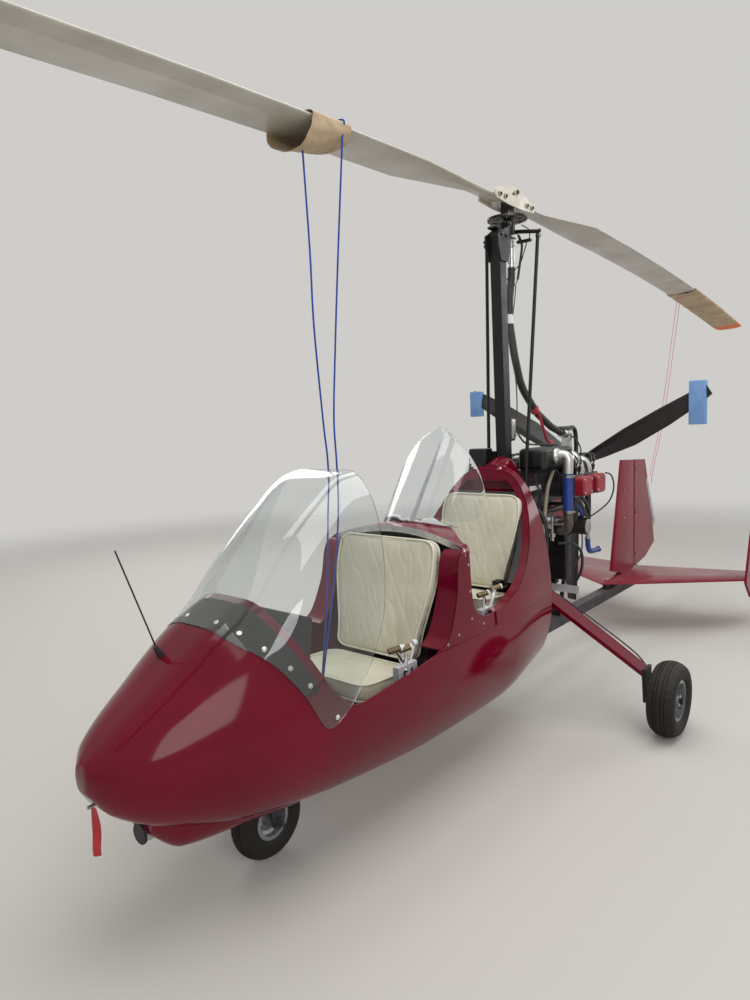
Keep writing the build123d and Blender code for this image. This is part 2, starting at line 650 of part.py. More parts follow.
def make_frame(legs, stabiliser):
    """Keel, mast, gear saddle, engine rails and posts."""
    half = KEEL_SIZE / 2
    bottom = KEEL_TOP_Z - KEEL_SIZE
    front = WELL_REAR_Y + SEAT_GAP
    keel = box(-half, half, front, KEEL_REAR_Y, bottom, KEEL_TOP_Z)
    wall = KEEL_WALL
    keel -= box(
        wall - half, half - wall, KEEL_TAPER_Y, KEEL_REAR_Y + 1, bottom + wall, KEEL_TOP_Z - wall
    )
    keel -= side_plate(
        ((front - 1, 0), (KEEL_TAPER_Y, 0), (KEEL_TAPER_Y, bottom), (front - 1, KEEL_NOSE_Z)), -half, half
    )
    for y in TAIL_MOUNTS:
        keel += box(-17, 17, y - 17, y + 17, KEEL_TOP_Z, STAB_Z) - stabiliser
    mast = mast_body(0) - mast_body(-MAST_WALL)
    hole = mast_body(SEAT_GAP)
    saddle = box(-142, 142, -104, 36, SADDLE_BOTTOM_Z, SADDLE_TOP_Z) - hole - legs
    collar = box(-RAIL_X - 24, RAIL_X + 24, -112, 10, RAIL_Z - 22, RAIL_Z + 22) - hole
    rail = rod((RAIL_X, 10, RAIL_Z), (RAIL_X, REAR_POST_Y + 30, RAIL_Z), RAIL_RADIUS)
    rail -= rod((RAIL_X, 30, RAIL_Z), (RAIL_X, REAR_POST_Y + 20, RAIL_Z), RAIL_RADIUS - FRAME_WALL)
    feet = [
        box(RAIL_X - 12, RAIL_X + 12, y - 24, y + 24, RAIL_Z, ENGINE_Z - CASE_HALF_HEIGHT - SEAT_GAP)
        for y in FOOT_PLACES
    ]
    strut = rod((RAIL_X, REAR_POST_Y, RAIL_Z), (22, REAR_POST_Y - 60, KEEL_TOP_Z + 30), 13)
    rails = both_sides(rail + feet + strut)
    rails += box(-RAIL_X, RAIL_X, REAR_POST_Y - 14, REAR_POST_Y + 14, RAIL_Z - 12, RAIL_Z + 12)
    rails += box(-34, 34, REAR_POST_Y - 84, REAR_POST_Y - 36, KEEL_TOP_Z + SEAT_GAP, KEEL_TOP_Z + 34)
    half_post = POST_WIDTH / 2
    post = box(
        -half_post, half_post, POST_Y - half_post, POST_Y + half_post,
        KEEL_TOP_Z + SEAT_GAP, RAIL_Z - 10,
    )
    inside = half_post - FRAME_WALL
    post -= box(-inside, inside, POST_Y - inside, POST_Y + inside, KEEL_TOP_Z + 10, RAIL_Z - 20)
    rails += post + box(-RAIL_X, RAIL_X, POST_Y - 12, POST_Y + 12, RAIL_Z - 12, RAIL_Z + 12)
    return {
        "keel": keel,
        "mast": mast,
        "gear_saddle": saddle,
        "engine_frame": rails + collar,
    }


def make_legs():
    """Both flat gear legs, from the saddle out and down to the axle brackets."""
    half = LEG_THICKNESS / 2
    slope = atan2(LEG_ROOT_Z - LEG_END_Z, LEG_END_X - LEG_ROOT_X)
    rise = half / cos(slope)
    corner = half * (1 - cos(slope)) / sin(slope)
    inner = MAST_WIDTH / 2 + 6
    outline = (
        (inner, LEG_ROOT_Z + half), (LEG_ROOT_X + corner, LEG_ROOT_Z + half),
        (LEG_END_X, LEG_END_Z + rise), (LEG_END_X, LEG_END_Z - rise),
        (LEG_ROOT_X - corner, LEG_ROOT_Z - half), (inner, LEG_ROOT_Z - half),
    )
    root, end = LEG_ROOT_WIDTH / 2, LEG_END_WIDTH / 2
    y = MAIN_WHEEL_Y
    plan = (
        (0, y - root), (LEG_ROOT_X, y - root), (LEG_END_X, y - end),
        (LEG_END_X, y + end), (LEG_ROOT_X, y + root), (0, y + root),
    )
    leg = front_plate(outline, y - root, y + root) & plan_plate(plan, 0, 900)
    return both_sides(leg)


def make_wheel(radius, width, rim_radius, bore, hub_half):
    """A tyre and its rim about an axle along X through the origin."""
    lip, lip_x = rim_radius + LIP_HEIGHT, width * 0.38
    gap = SEAT_GAP
    bead = lip_x - LIP_WIDTH - gap
    half = width / 2
    crown = radius - (radius - lip) * 0.10
    shoulder = half * 0.62
    bulge = lip + (radius - lip) * 0.45
    edges = [
        Line((-bead, rim_radius), (bead, rim_radius)),
        Line((bead, rim_radius), (bead, lip + gap)),
        Line((bead, lip + gap), (lip_x, lip + gap)),
        ThreePointArc((lip_x, lip + gap), (half, bulge), (shoulder, crown)),
        ThreePointArc((shoulder, crown), (0, radius), (-shoulder, crown)),
        ThreePointArc((-shoulder, crown), (-half, bulge), (-lip_x, lip + gap)),
        Line((-lip_x, lip + gap), (-bead, lip + gap)),
        Line((-bead, lip + gap), (-bead, rim_radius)),
    ]
    tyre = revolve(make_face(edges), Axis.X)
    seat = rim_radius - gap
    barrel = seat - 7
    hub = bore + 15
    profile = [(-hub_half, bore), (hub_half, bore), (hub_half, hub)]
    profile += [(12, hub + 6), (8, barrel * 0.8), (14, barrel)]
    profile += [(lip_x, barrel), (lip_x, lip), (lip_x - LIP_WIDTH, lip), (lip_x - LIP_WIDTH, seat)]
    profile += [(LIP_WIDTH - lip_x, seat), (LIP_WIDTH - lip_x, lip), (-lip_x, lip)]
    profile += [(-lip_x, barrel), (-4, barrel), (-2, barrel * 0.8), (-6, hub + 6), (-hub_half, hub)]
    rim = turned(profile, 0, 0, 0)
    for k in range(5):
        angle = radians(72 * k)
        place = (barrel + hub) / 2
        hole = rod((-half, place * cos(angle), place * sin(angle)),
                   (half, place * cos(angle), place * sin(angle)), (barrel - hub) * 0.24)
        rim -= hole
    return tyre, rim


def make_main_gear(legs):
    """Legs, axle brackets, and the two main wheels."""
    parts = {"gear_legs": legs}
    x0 = LEG_END_X + SEAT_GAP
    x1 = x0 + BRACKET_THICKNESS
    y, z = MAIN_WHEEL_Y, MAIN_TYRE_RADIUS
    wheel_x = MAIN_TRACK / 2
    hub_half = 46.0
    end = LEG_END_WIDTH / 2
    bracket = side_plate(
        ((y - end, LEG_END_Z - 16), (y - end, LEG_END_Z + 22), (y + end, LEG_END_Z + 22),
         (y + end, LEG_END_Z - 16), (y + 26, z - 36), (y - 26, z - 36)), x0, x1)
    bracket += rod((x1, y, z), (wheel_x - hub_half - 6, y, z), 20)
    nut = wheel_x + hub_half
    bracket += rod((x1, y, z), (nut + 16, y, z), MAIN_AXLE_RADIUS)
    bracket += rod((nut + 5, y, z), (nut + 15, y, z), 17)
    parts["axle_brackets"] = both_sides(bracket)
    tyre, rim = make_wheel(
        MAIN_TYRE_RADIUS, MAIN_TYRE_WIDTH, MAIN_RIM_RADIUS, MAIN_AXLE_RADIUS + PIN_CLEARANCE, hub_half
    )
    disc = turned(((-hub_half, 24), (-hub_half + 5, 24), (-hub_half + 5, 74), (-hub_half, 74)), 0, 0, 0)
    rim += disc
    for side, name in ((1, "port"), (-1, "starboard")):
        place = Pos(side * wheel_x, y, z)
        parts[f"{name}_tyre"] = place * tyre
        parts[f"{name}_rim"] = place * (rim if side > 0 else mirror(rim, about=Plane.YZ))
    return parts


def make_nose_gear():
    """Steered fork with its stem and axle, and the nose wheel."""
    steer_y = NOSE_WHEEL_Y - NOSE_TRAIL
    z = NOSE_TYRE_RADIUS
    inner = NOSE_TYRE_WIDTH / 2 + SWEEP_GAP
    outer = inner + FORK_BLADE
    crown_z = 2 * NOSE_TYRE_RADIUS + SWEEP_GAP + 2
    boss_top = WELL_TOP_Z + STEER_BOSS_HEIGHT
    fork = box(-outer, outer, steer_y - 24, NOSE_WHEEL_Y + 22, crown_z, crown_z + 16)
    blade = side_plate(
        ((steer_y + 6, crown_z), (NOSE_WHEEL_Y + 22, crown_z), (NOSE_WHEEL_Y + 18, z - 16),
         (NOSE_WHEEL_Y - 18, z - 16)), inner, outer)
    fork += both_sides(blade)
    fork += rod((0, steer_y, crown_z), (0, steer_y, boss_top + 20), STEER_TUBE_RADIUS)
    fork += rod((0, steer_y, boss_top + 5), (0, steer_y, boss_top + 17), STEER_TUBE_RADIUS + 9)
    fork += rod((-NOSE_AXLE_HALF, NOSE_WHEEL_Y, z), (NOSE_AXLE_HALF, NOSE_WHEEL_Y, z), NOSE_AXLE_RADIUS)
    fork += both_sides(rod((outer, NOSE_WHEEL_Y, z), (outer + 10, NOSE_WHEEL_Y, z), 17))
    tyre, rim = make_wheel(
        NOSE_TYRE_RADIUS, NOSE_TYRE_WIDTH, NOSE_RIM_RADIUS, NOSE_AXLE_RADIUS + PIN_CLEARANCE, inner - 5
    )
    place = Pos(0, NOSE_WHEEL_Y, z)
    return {"nose_fork": fork, "nose_tyre": place * tyre, "nose_rim": place * rim}


def droop(r):
    """How far the blade hangs below the hub, straight within each bay of the blade."""
    bay = (ROTOR_RADIUS - BLADE_TAPER_END) / BLADE_BAYS
    steps = (r - BLADE_TAPER_END) // bay
    inner = BLADE_TAPER_END + steps * bay
    share = (r - inner) / bay
    low, high = (y * y / (2 * BLADE_DROOP_RADIUS) for y in (inner, inner + bay))
    return low + (high - low) * share if r > BLADE_TAPER_END else r * r / (2 * BLADE_DROOP_RADIUS)


def blade_body(places, grow, core=1.0):
    """The front blade through places from the root out, grown by a wall or shrunk to its core."""
    sections = []
    for r in places:
        share = (r - BLADE_TAPER_START) / (BLADE_TAPER_END - BLADE_TAPER_START)
        share = min(max(share, 0.0), 1.0)
        chord = BLADE_ROOT_CHORD + (BLADE_CHORD - BLADE_ROOT_CHORD) * share + 2 * grow
        ahead = (0.5 + (0.3 - 0.5) * share) * (chord - 2 * grow)
        shift = 0.3 * (chord - 2 * grow) - ahead
        plane = Plane(
            origin=(-shift, -r, ROTOR_HUB_Z - droop(r)), x_dir=(-1, 0, 0), z_dir=(0, -1, 0)
        )
        section = wing(core * chord, BLADE_THICKNESS + 2 * grow, max(BLADE_TIP_EDGE + 2 * grow, 1))
        sections.append(plane * section)
    return loft(sections, ruled=True)


def opposite(shape):
    """The same piece on the other blade."""
    return Rot(0, 0, 180) * shape


def make_rotor():
    """Teetering hub bar, two blades with canvas sleeves, tower, spindle and ring gear."""
    bays = [BLADE_TAPER_END + (ROTOR_RADIUS - BLADE_TAPER_END) * k / BLADE_BAYS for k in range(BLADE_BAYS + 1)]
    blade = blade_body([BLADE_ROOT_Y, BLADE_TAPER_START] + bays, 0)
    inside = [BLADE_TAPER_START] + bays[:-1] + [ROTOR_RADIUS - BLADE_WALL]
    blade -= blade_body(inside, -BLADE_WALL, 0.86)
    sleeves = []
    for start, end in (SLEEVE_FRONT, SLEEVE_AFT):
        places = [r for r in bays if start < r < end]
        places = [start] + places + [end]
        inner = [start - 1] + places[1:-1]
        inner += [end + 1] if end < ROTOR_RADIUS else [ROTOR_RADIUS + SEAT_GAP]
        sleeve = blade_body(places, SLEEVE_THICKNESS) - blade_body(inner, SEAT_GAP)
        sleeves.append(sleeve)
    plate_x = HUB_PLATE_GAP / 2
    top = ROTOR_HUB_Z
    end = HUB_PLATE_HALF_LENGTH
    outline = (
        (-end, top - 20), (-end, top + 22), (-70, top + 62), (24, top + 62), (end, top + 18),
        (end, top - 20), (60, top - 30), (-60, top - 30),
    )
    plate = side_plate(outline, plate_x, plate_x + HUB_PLATE_THICKNESS)
    plate = fillet(plate.edges().filter_by(Axis.X), 10)
    teeter_z = ROTOR_HUB_Z + TEETER_RISE
    reach = plate_x + HUB_PLATE_THICKNESS + 12
    hub = both_sides(plate)
    hub += rod((-reach, 0, teeter_z), (reach, 0, teeter_z), TEETER_BOLT_RADIUS)
    hub += both_sides(
        rod((reach - 12, 0, teeter_z), (reach - 4, 0, teeter_z), 2 * TEETER_BOLT_RADIUS)
    )
    bolts = []
    for y in (-165, -110, 110, 165):
        bolt = rod((-reach + 2, y, ROTOR_HUB_Z), (reach - 2, y, ROTOR_HUB_Z), HUB_BOLT_RADIUS)
        bolts.append(bolt)
        hub += both_sides(rod((reach - 12, y, ROTOR_HUB_Z), (reach - 4, y, ROTOR_HUB_Z), 11))
    hub += bolts
    clear = [
        rod((-reach, y, ROTOR_HUB_Z), (reach, y, ROTOR_HUB_Z), HUB_BOLT_RADIUS + PIN_CLEARANCE)
        for y in (-165, -110, 110, 165)
    ]
    blades = blade + opposite(blade)
    for hole in clear:
        blades -= hole
    gear_z = ROTOR_HUB_Z - RING_GEAR_DROP
    gear = Pos(0, 0, gear_z) * Cylinder(RING_GEAR_RADIUS - RING_GEAR_TOOTH, RING_GEAR_THICKNESS)
    tooth = box(RING_GEAR_RADIUS - 2 * RING_GEAR_TOOTH, RING_GEAR_RADIUS, -4, 4,
                gear_z - RING_GEAR_THICKNESS / 2, gear_z + RING_GEAR_THICKNESS / 2)
    gear += [Rot(0, 0, 360 / RING_GEAR_TEETH * k) * tooth for k in range(RING_GEAR_TEETH)]
    gear -= Pos(0, 0, gear_z) * Cylinder(SPINDLE_RADIUS, 2 * RING_GEAR_THICKNESS)
    for k in range(6):
        hole = Rot(0, 0, 60 * k) * Pos(0.64 * RING_GEAR_RADIUS, 0, gear_z)
        gear -= hole * Cylinder(16, 2 * RING_GEAR_THICKNESS)
    tower_foot = gear_z + RING_GEAR_THICKNESS / 2
    half_x, half_y = TOWER_WIDTH / 2, TOWER_DEPTH / 2
    tower = box(-half_x, half_x, -half_y, half_y, tower_foot, teeter_z + 20)
    tower -= rod((-reach, 0, teeter_z), (reach, 0, teeter_z), TEETER_BOLT_RADIUS + PIN_CLEARANCE)
    tower += rod((0, 0, head_bottom() - 6), (0, 0, tower_foot), SPINDLE_RADIUS)
    return {
        "rotor_blades": blades,
        "blade_sleeves": sleeves[0] + opposite(sleeves[1]),
        "hub_bar": hub,
        "ring_gear": gear,
        "teeter_tower": tower,
    }


def head_top():
    """Upper face of the bearing block under the ring gear."""
    return ROTOR_HUB_Z - RING_GEAR_DROP - RING_GEAR_THICKNESS / 2 - HEAD_GAP


def head_bottom():
    """Lower face of the bearing block."""
    return head_top() - HEAD_HEIGHT


def make_head():
    """Cheek plates on the mast, bearing block, control arm and rods, and the starter."""
    gap = SEAT_GAP
    low, high = head_bottom(), head_top()
    x0 = MAST_WIDTH / 2 + gap
    cheek_low = MAST_TOP_Z - CHEEK_HEIGHT
    middle = mast_y(cheek_low)
    pivot_y, pivot_z = mast_y(MAST_TOP_Z) + 30, (low + high) / 2
    cheek = side_plate(
        ((middle - 32, cheek_low), (middle + 32, cheek_low), (middle + 62, MAST_TOP_Z - 60),
         (middle + 62, low - 22), (pivot_y + 20, low + 4), (pivot_y + 20, high - 10),
         (pivot_y - 20, high - 10), (pivot_y - 20, low + 4), (middle - 64, low - 34),
         (middle - 62, MAST_TOP_Z - 70)), x0, x0 + CHEEK_THICKNESS)
    half = MAST_WIDTH / 2
    block = box(-half, half, middle - 56, -HEAD_RADIUS + 12, low + gap, high - 2)
    block += rod((0, 0, low), (0, 0, high), HEAD_RADIUS)
    reach = x0 + CHEEK_THICKNESS
    cheeks = both_sides(cheek)
    cheeks += rod((-reach - 8, pivot_y, pivot_z), (reach + 8, pivot_y, pivot_z), 8)
    cheeks += both_sides(rod((reach, pivot_y, pivot_z), (reach + 6, pivot_y, pivot_z), 14))
    block -= rod((-reach, pivot_y, pivot_z), (reach, pivot_y, pivot_z), 8 + PIN_CLEARANCE)
    arm_z = low - CONTROL_ROD_RADIUS
    block += rod((-HEAD_RADIUS, CONTROL_ARM_Y, low + 11), (HEAD_RADIUS, CONTROL_ARM_Y, low + 11), 10)
    block += both_sides(
        rod((HEAD_RADIUS - 8, CONTROL_ARM_Y, low + 12), (CONTROL_ARM_HALF, CONTROL_ARM_Y, arm_z), 10))
    rod_top = (CONTROL_ARM_HALF - 10, CONTROL_ARM_Y, arm_z - 10 - gap)
    control = rod(CONTROL_ROD_FOOT, rod_top, CONTROL_ROD_RADIUS)
    starter_x, starter_y = -42.0, 112.0
    starter = Pos(starter_x, starter_y, 0)
    starter *= rod((0, 0, low - STARTER_HEIGHT), (0, 0, low - gap), STARTER_RADIUS)
    starter += Pos(starter_x, starter_y, 0) * rod((0, 0, low - 4), (0, 0, high - 4), 7)
    starter += Pos(starter_x, starter_y, 0) * rod((0, 0, high - 24), (0, 0, high - 4), 13)
    shelf = plan_plate(
        ((starter_x - 22, starter_y + 18), (starter_x + 22, starter_y + 18), (30, 10), (-36, 10)),
        low, low + 8)
    shelf -= Pos(starter_x, starter_y, 0) * rod((0, 0, low - 1), (0, 0, low + 9), 7 + gap)
    block += shelf
    block -= rod((0, 0, low - 1), (0, 0, high + 1), SPINDLE_RADIUS + PIN_CLEARANCE)
    foot_x, foot_y, foot_z = CONTROL_ROD_FOOT
    control += box(MAST_WIDTH / 2 + gap, foot_x + 14, foot_y - 12, foot_y + 12, foot_z - 14, foot_z + 6)
    return {
        "mast_cheeks": cheeks,
        "bearing_head": block,
        "control_rods": both_sides(control),
        "rotor_starter": starter,
    }


def make_propeller():
    """Three-bladed pusher propeller with its hub, shaft and the covers on its tips."""
    start, end = PROP_Y - PROP_HUB_HALF, PROP_Y + PROP_HUB_HALF
    hub = rod((0, start, PROP_Z), (0, end, PROP_Z), PROP_HUB_RADIUS)
    hub += rod((0, GEARBOX_REAR_Y + 5, PROP_Z), (0, start, PROP_Z), 36)
    hub += rod((0, GEARBOX_REAR_Y - 60, PROP_Z), (0, GEARBOX_REAR_Y + 5, PROP_Z), PROP_SHAFT_RADIUS)
    hub += rod((0, end, PROP_Z), (0, end + 26, PROP_Z), 24)
    for k in range(SPINNER_BOLTS):
        angle = radians(360 / SPINNER_BOLTS * k)
        x, z = SPINNER_CIRCLE / 2 * cos(angle), PROP_Z + SPINNER_CIRCLE / 2 * sin(angle)
        hub -= rod((x, end - 14, z), (x, end + 1, z), SPINNER_HOLE_RADIUS)
    blades, covers = [], []
    for k in range(PROP_BLADES):
        turn = Pos(0, PROP_Y, PROP_Z) * Rot(0, -(PROP_START_ANGLE + 360 / PROP_BLADES * k), 0)
        blades.append(turn * prop_blade(0, PROP_STATIONS, 0))
    for k in range(PROP_BLADES):
        turn = Pos(0, PROP_Y, PROP_Z) * Rot(0, -(PROP_START_ANGLE + 360 / PROP_BLADES * k), 0)
        outer = prop_blade(COVER_START, PROP_STATIONS, 9)
        inner = prop_blade(COVER_START - 20, PROP_STATIONS, SEAT_GAP)
        covers.append(turn * (outer - inner))
    prop_blades = Part() + blades
    return {
        "prop_hub": hub,
        "prop_blades": prop_blades - hub,
        "prop_covers": Part() + covers,
    }


def prop_blade(start, rows, grow):
    """One propeller blade along +X, or the outer part of it with a wall around it."""
    places = [row[0] * PROP_RADIUS for row in rows if row[0] * PROP_RADIUS > start + 1]
    if start > 0:
        places = [start] + places
    places[-1] += grow
    table = [(row[0] * PROP_RADIUS,) + row[1:] for row in rows]
    table.append((PROP_RADIUS + 40,) + rows[-1][1:])
    sections = []
    for r in places:
        _, chord, thickness, angle = row_at(table, r)
        tilt = radians(angle)
        plane = Plane(origin=(r, 0, 0), x_dir=(0, sin(tilt), -cos(tilt)), z_dir=(1, 0, 0))
        sections.append(plane * wing(chord + 2 * grow, thickness + 2 * grow, 2 + 2 * grow))
    return loft(sections, ruled=True)


def make_engine():
    """Flat-four engine: case, gearbox, finned cylinders, covers, pipes, box and tank."""
    half_x, half_z = CASE_HALF_WIDTH, CASE_HALF_HEIGHT
    case = box(-half_x, half_x, CASE_FRONT_Y, CASE_REAR_Y, ENGINE_Z - half_z, ENGINE_Z + half_z)
    case = fillet(case.edges().filter_by(Axis.Y), 22)
    gearbox = box(-78, 78, CASE_REAR_Y - 20, GEARBOX_REAR_Y, ENGINE_Z - 70, PROP_Z + 74)
    gearbox = fillet(gearbox.edges().filter_by(Axis.Y), 40)
    case += gearbox
    case += rod((0, GEARBOX_REAR_Y - 80, PROP_Z), (0, GEARBOX_REAR_Y, PROP_Z), 58)
    case -= rod(
        (0, GEARBOX_REAR_Y - 62, PROP_Z), (0, GEARBOX_REAR_Y + 1, PROP_Z),
        PROP_SHAFT_RADIUS + PIN_CLEARANCE,
    )
    covers = []
    pitch = (HEAD_START - half_x - 10) / FIN_COUNT
    for y in CYLINDER_PLACES:
        barrel = rod((half_x - 5, y, ENGINE_Z), (HEAD_START, y, ENGINE_Z), CYLINDER_RADIUS)
        for k in range(FIN_COUNT):
            x = half_x + 10 + pitch * k
            fin = box(x, x + FIN_THICKNESS, y - FIN_HALF, y + FIN_HALF, ENGINE_Z - FIN_HALF, ENGINE_Z + FIN_HALF)
            barrel += fin
        head = box(HEAD_START, COVER_START_X - SEAT_GAP, y - 66, y + 66, ENGINE_Z - 60, ENGINE_Z + 60)
        barrel += fillet(head.edges().filter_by(Axis.X), 14)
        case += both_sides(barrel)
        cover = box(COVER_START_X, COVER_END_X, y - 58, y + 58, ENGINE_Z - 52, ENGINE_Z + 52)
        cover = fillet(cover.edges().filter_by(Axis.X), 24)
        cover = fillet(cover.faces().sort_by(Axis.X)[-1].edges(), 10)
        covers.append(both_sides(cover))
    top = ENGINE_Z + half_z + SEAT_GAP
    airbox = fillet(box(44, 196, -10, 340, top, top + 118).edges(), 26)
    airbox += box(90, 150, 40, 90, top, top + 40)
    head_x = (HEAD_START + COVER_START_X) / 2
    elbow = pipe(
        [(head_x, 300, ENGINE_Z + 60 + SEAT_GAP), (head_x, 300, ENGINE_Z + 150), (120, 380, ENGINE_Z + 190)],
        21, [55])
    hose_x, hose_y, hose_top = CHARGE_HOSE
    elbow += pipe(
        [(150, hose_y, AIRBOX_OUTLET_Z), (hose_x, hose_y, AIRBOX_OUTLET_Z), (hose_x, hose_y, hose_top)],
        CHARGE_HOSE_RADIUS - 5, [48])
    rail_side = RAIL_X + RAIL_RADIUS + SEAT_GAP
    elbow += rod((rail_side, hose_y, COMPRESSOR_Z), (COMPRESSOR_END_X, hose_y, COMPRESSOR_Z), COMPRESSOR_RADIUS)
    elbow += pipe(
        [(hose_x, hose_y, CHARGE_HOSE_LOW), (hose_x, hose_y, COMPRESSOR_Z), (COMPRESSOR_END_X - 8, hose_y, COMPRESSOR_Z)],
        CHARGE_HOSE_RADIUS - 3, [40])
    return {
        "engine_block": case,
        "valve_covers": Part() + covers,
        "airbox": airbox,
        "intake_pipes": elbow - airbox,
    }


def make_tail():
    """Stabiliser with end plates, fin, rudder on its hinge pin, and the trim tab."""
    root = Plane(origin=(0, 1235 + 0.3 * 730, STAB_Z), x_dir=(0, 1, 0), z_dir=(1, 0, 0))
    tip = Plane(
        origin=(STAB_HALF_SPAN, 1820 + 0.3 * 330, STAB_Z), x_dir=(0, 1, 0), z_dir=(1, 0, 0)
    )
    half = loft([root * wing(730, STAB_THICKNESS), tip * wing(330, STAB_TIP_THICKNESS)], ruled=True)
    half_solid = half
    wall = TAIL_WALL
    half -= loft(
        [
            root.offset(2 * wall) * wing(730 * 0.88, STAB_THICKNESS - 2 * wall),
            tip.offset(-2 * wall) * wing(330 * 0.88, STAB_TIP_THICKNESS - 2 * wall),
        ],
        ruled=True,
    )
    stabiliser = both_sides(half)
    plate_x = STAB_HALF_SPAN + SEAT_GAP
    plate = side_plate(END_PLATE_OUTLINE, plate_x, plate_x + END_PLATE_THICKNESS)
    plate = fillet(plate.edges().filter_by(Axis.X), 24)
    middle = Pos(plate_x + END_PLATE_THICKNESS / 2, *END_PLATE_MIDDLE)
    core = side_plate(
        [((y - END_PLATE_MIDDLE[0]) * 0.93, (z - END_PLATE_MIDDLE[1]) * 0.93) for y, z in END_PLATE_OUTLINE],
        wall - END_PLATE_THICKNESS / 2, END_PLATE_THICKNESS / 2 - wall)
    plate -= middle * core
    low = Plane(origin=(0, 1354 + 0.3 * 970, 350), x_dir=(0, 1, 0), z_dir=(0, 0, 1))
    high = Plane(origin=(0, 1557 + 0.3 * 560, 1180), x_dir=(0, 1, 0), z_dir=(0, 0, 1))
    body = loft([low * wing(970, FIN_THICKNESS_ROOT, 3), high * wing(560, 30, 3)], ruled=True)
    body &= side_plate(FIN_OUTLINE, -WIDE, WIDE)
    hinge = RUDDER_HINGE_Y
    nose = RUDDER_NOSE_RADIUS
    thin = FIN_THICKNESS_ROOT - 2 * wall
    core = loft([low * wing(860, thin, 1), high * wing(490, 30 - 2 * wall, 1)], ruled=True)
    fin_core = core & box(-WIDE, WIDE, 0, hinge - nose - RUDDER_GAP - 24, 410, 1140)
    rudder_core = core & box(-WIDE, WIDE, hinge + nose + 10, HIGH * 2, 440, 1130)
    fin = body & box(-WIDE, WIDE, 0, hinge - nose - RUDDER_GAP, 0, HIGH)
    seat = STAB_Z + STAB_THICKNESS / 2 + SEAT_GAP
    fin -= Pos(0, 0, SEAT_GAP) * half_solid + Pos(0, 0, SEAT_GAP) * mirror(half_solid, about=Plane.YZ)
    fin -= fin_core
    rudder = body & box(-WIDE, WIDE, hinge, HIGH * 2, 0, HIGH)
    rudder -= rudder_core & side_plate(
        [(2050 + (y - 2050) * 0.88, 780 + (z - 780) * 0.88) for y, z in FIN_OUTLINE], -WIDE, WIDE
    )
    rudder += rod((0, hinge, 396), (0, hinge, 1152), nose)
    rudder &= box(-WIDE, WIDE, 0, HIGH * 2, seat + SWEEP_GAP, HIGH)
    pin = HINGE_PIN_RADIUS
    for z in (470.0, 780.0, 1090.0):
        rudder -= box(-WIDE, WIDE, 0, hinge + nose + 6, z - 12, z + 12)
        fin += box(-12, 12, hinge - nose - RUDDER_GAP - 20, hinge + 10, z - 5, z + 5)
    fin += rod((0, hinge, 440), (0, hinge, 1120), pin)
    rudder -= rod((0, hinge, 434), (0, hinge, 1126), pin + PIN_CLEARANCE)
    (ya, za), (yb, zb) = TAB_EDGE
    length = sqrt((yb - ya) ** 2 + (zb - za) ** 2)
    ny, nz = (zb - za) / length * TAB_WIDTH, -(yb - ya) / length * TAB_WIDTH
    strip = ((ya, za), (yb, zb), (yb + ny, zb + nz), (ya + ny, za + nz))
    tab = side_plate(strip, -TAB_THICKNESS / 2, TAB_THICKNESS / 2)
    rudder -= side_plate(strip, -WIDE, WIDE)
    return {
        "stabiliser": stabiliser,
        "end_plates": both_sides(plate),
        "fin": fin,
        "rudder": rudder,
        "trim_tab": tab,
    }


def make_fittings(body):
    """Electrical box, exhaust canister, tank, plate, lamp, pitot tube and whip aerial."""
    gap = SEAT_GAP
    front = mast_y(1280) - MAST_DEPTH / 2 - 2
    electrical = fillet(box(-152, -52, front - 70, front + 6, 1224, 1336).edges(), 8)
    electrical += box(-60, -MAST_WIDTH / 2 - gap, front - 8, front + 40, 1240, 1320)
    y, z = CANISTER_PLACE
    x0, x1 = CANISTER_ENDS
    canister = rod((x0, y, z), (x1, y, z), CANISTER_RADIUS)
    canister += rod((POST_WIDTH / 2 + gap, y - 12, z), (x0, y - 12, z), 10)
    for place in CYLINDER_PLACES:
        canister += pipe(
            [(232, place, ENGINE_Z - 60 - gap), (232, place, z + 70), (190, y + (place - y) * 0.4, z + 30)],
            17, [26])
    tank = fillet(box(-52, 178, 286, POST_Y - POST_WIDTH / 2 - gap, 500, 850).edges(), 14)
    plate_y = POST_Y + POST_WIDTH / 2 + gap
    plate = box(-16, 206, plate_y, plate_y + 4, 496, 540)
    lamp = rod((0, -2244, LAMP_Z), (0, -2194, LAMP_Z), LAMP_RADIUS)
    pitot = rod((0, -2392, 464), (0, -2340, 466), 5) - body
    whip_foot = Vector(-30, -2100, 790)
    lean = Vector(0, -0.34, 1).normalized()
    foot = Plane(origin=whip_foot, z_dir=(0.05, -0.55, 0.83))
    cone = loft([foot * Circle(16), foot.offset(66) * Circle(7)], ruled=True)
    whip = cone + rod((foot.origin + foot.z_dir * 50), (foot.origin + foot.z_dir * 60 + lean * 330), 2.5)
    return {
        "electrical_box": electrical,
        "exhaust_canister": canister,
        "oil_tank": tank,
        "engine_plate": plate,
        "landing_lamp": lamp,
        "pitot_tube": pitot,
        "whip_aerial": whip - body,
    }


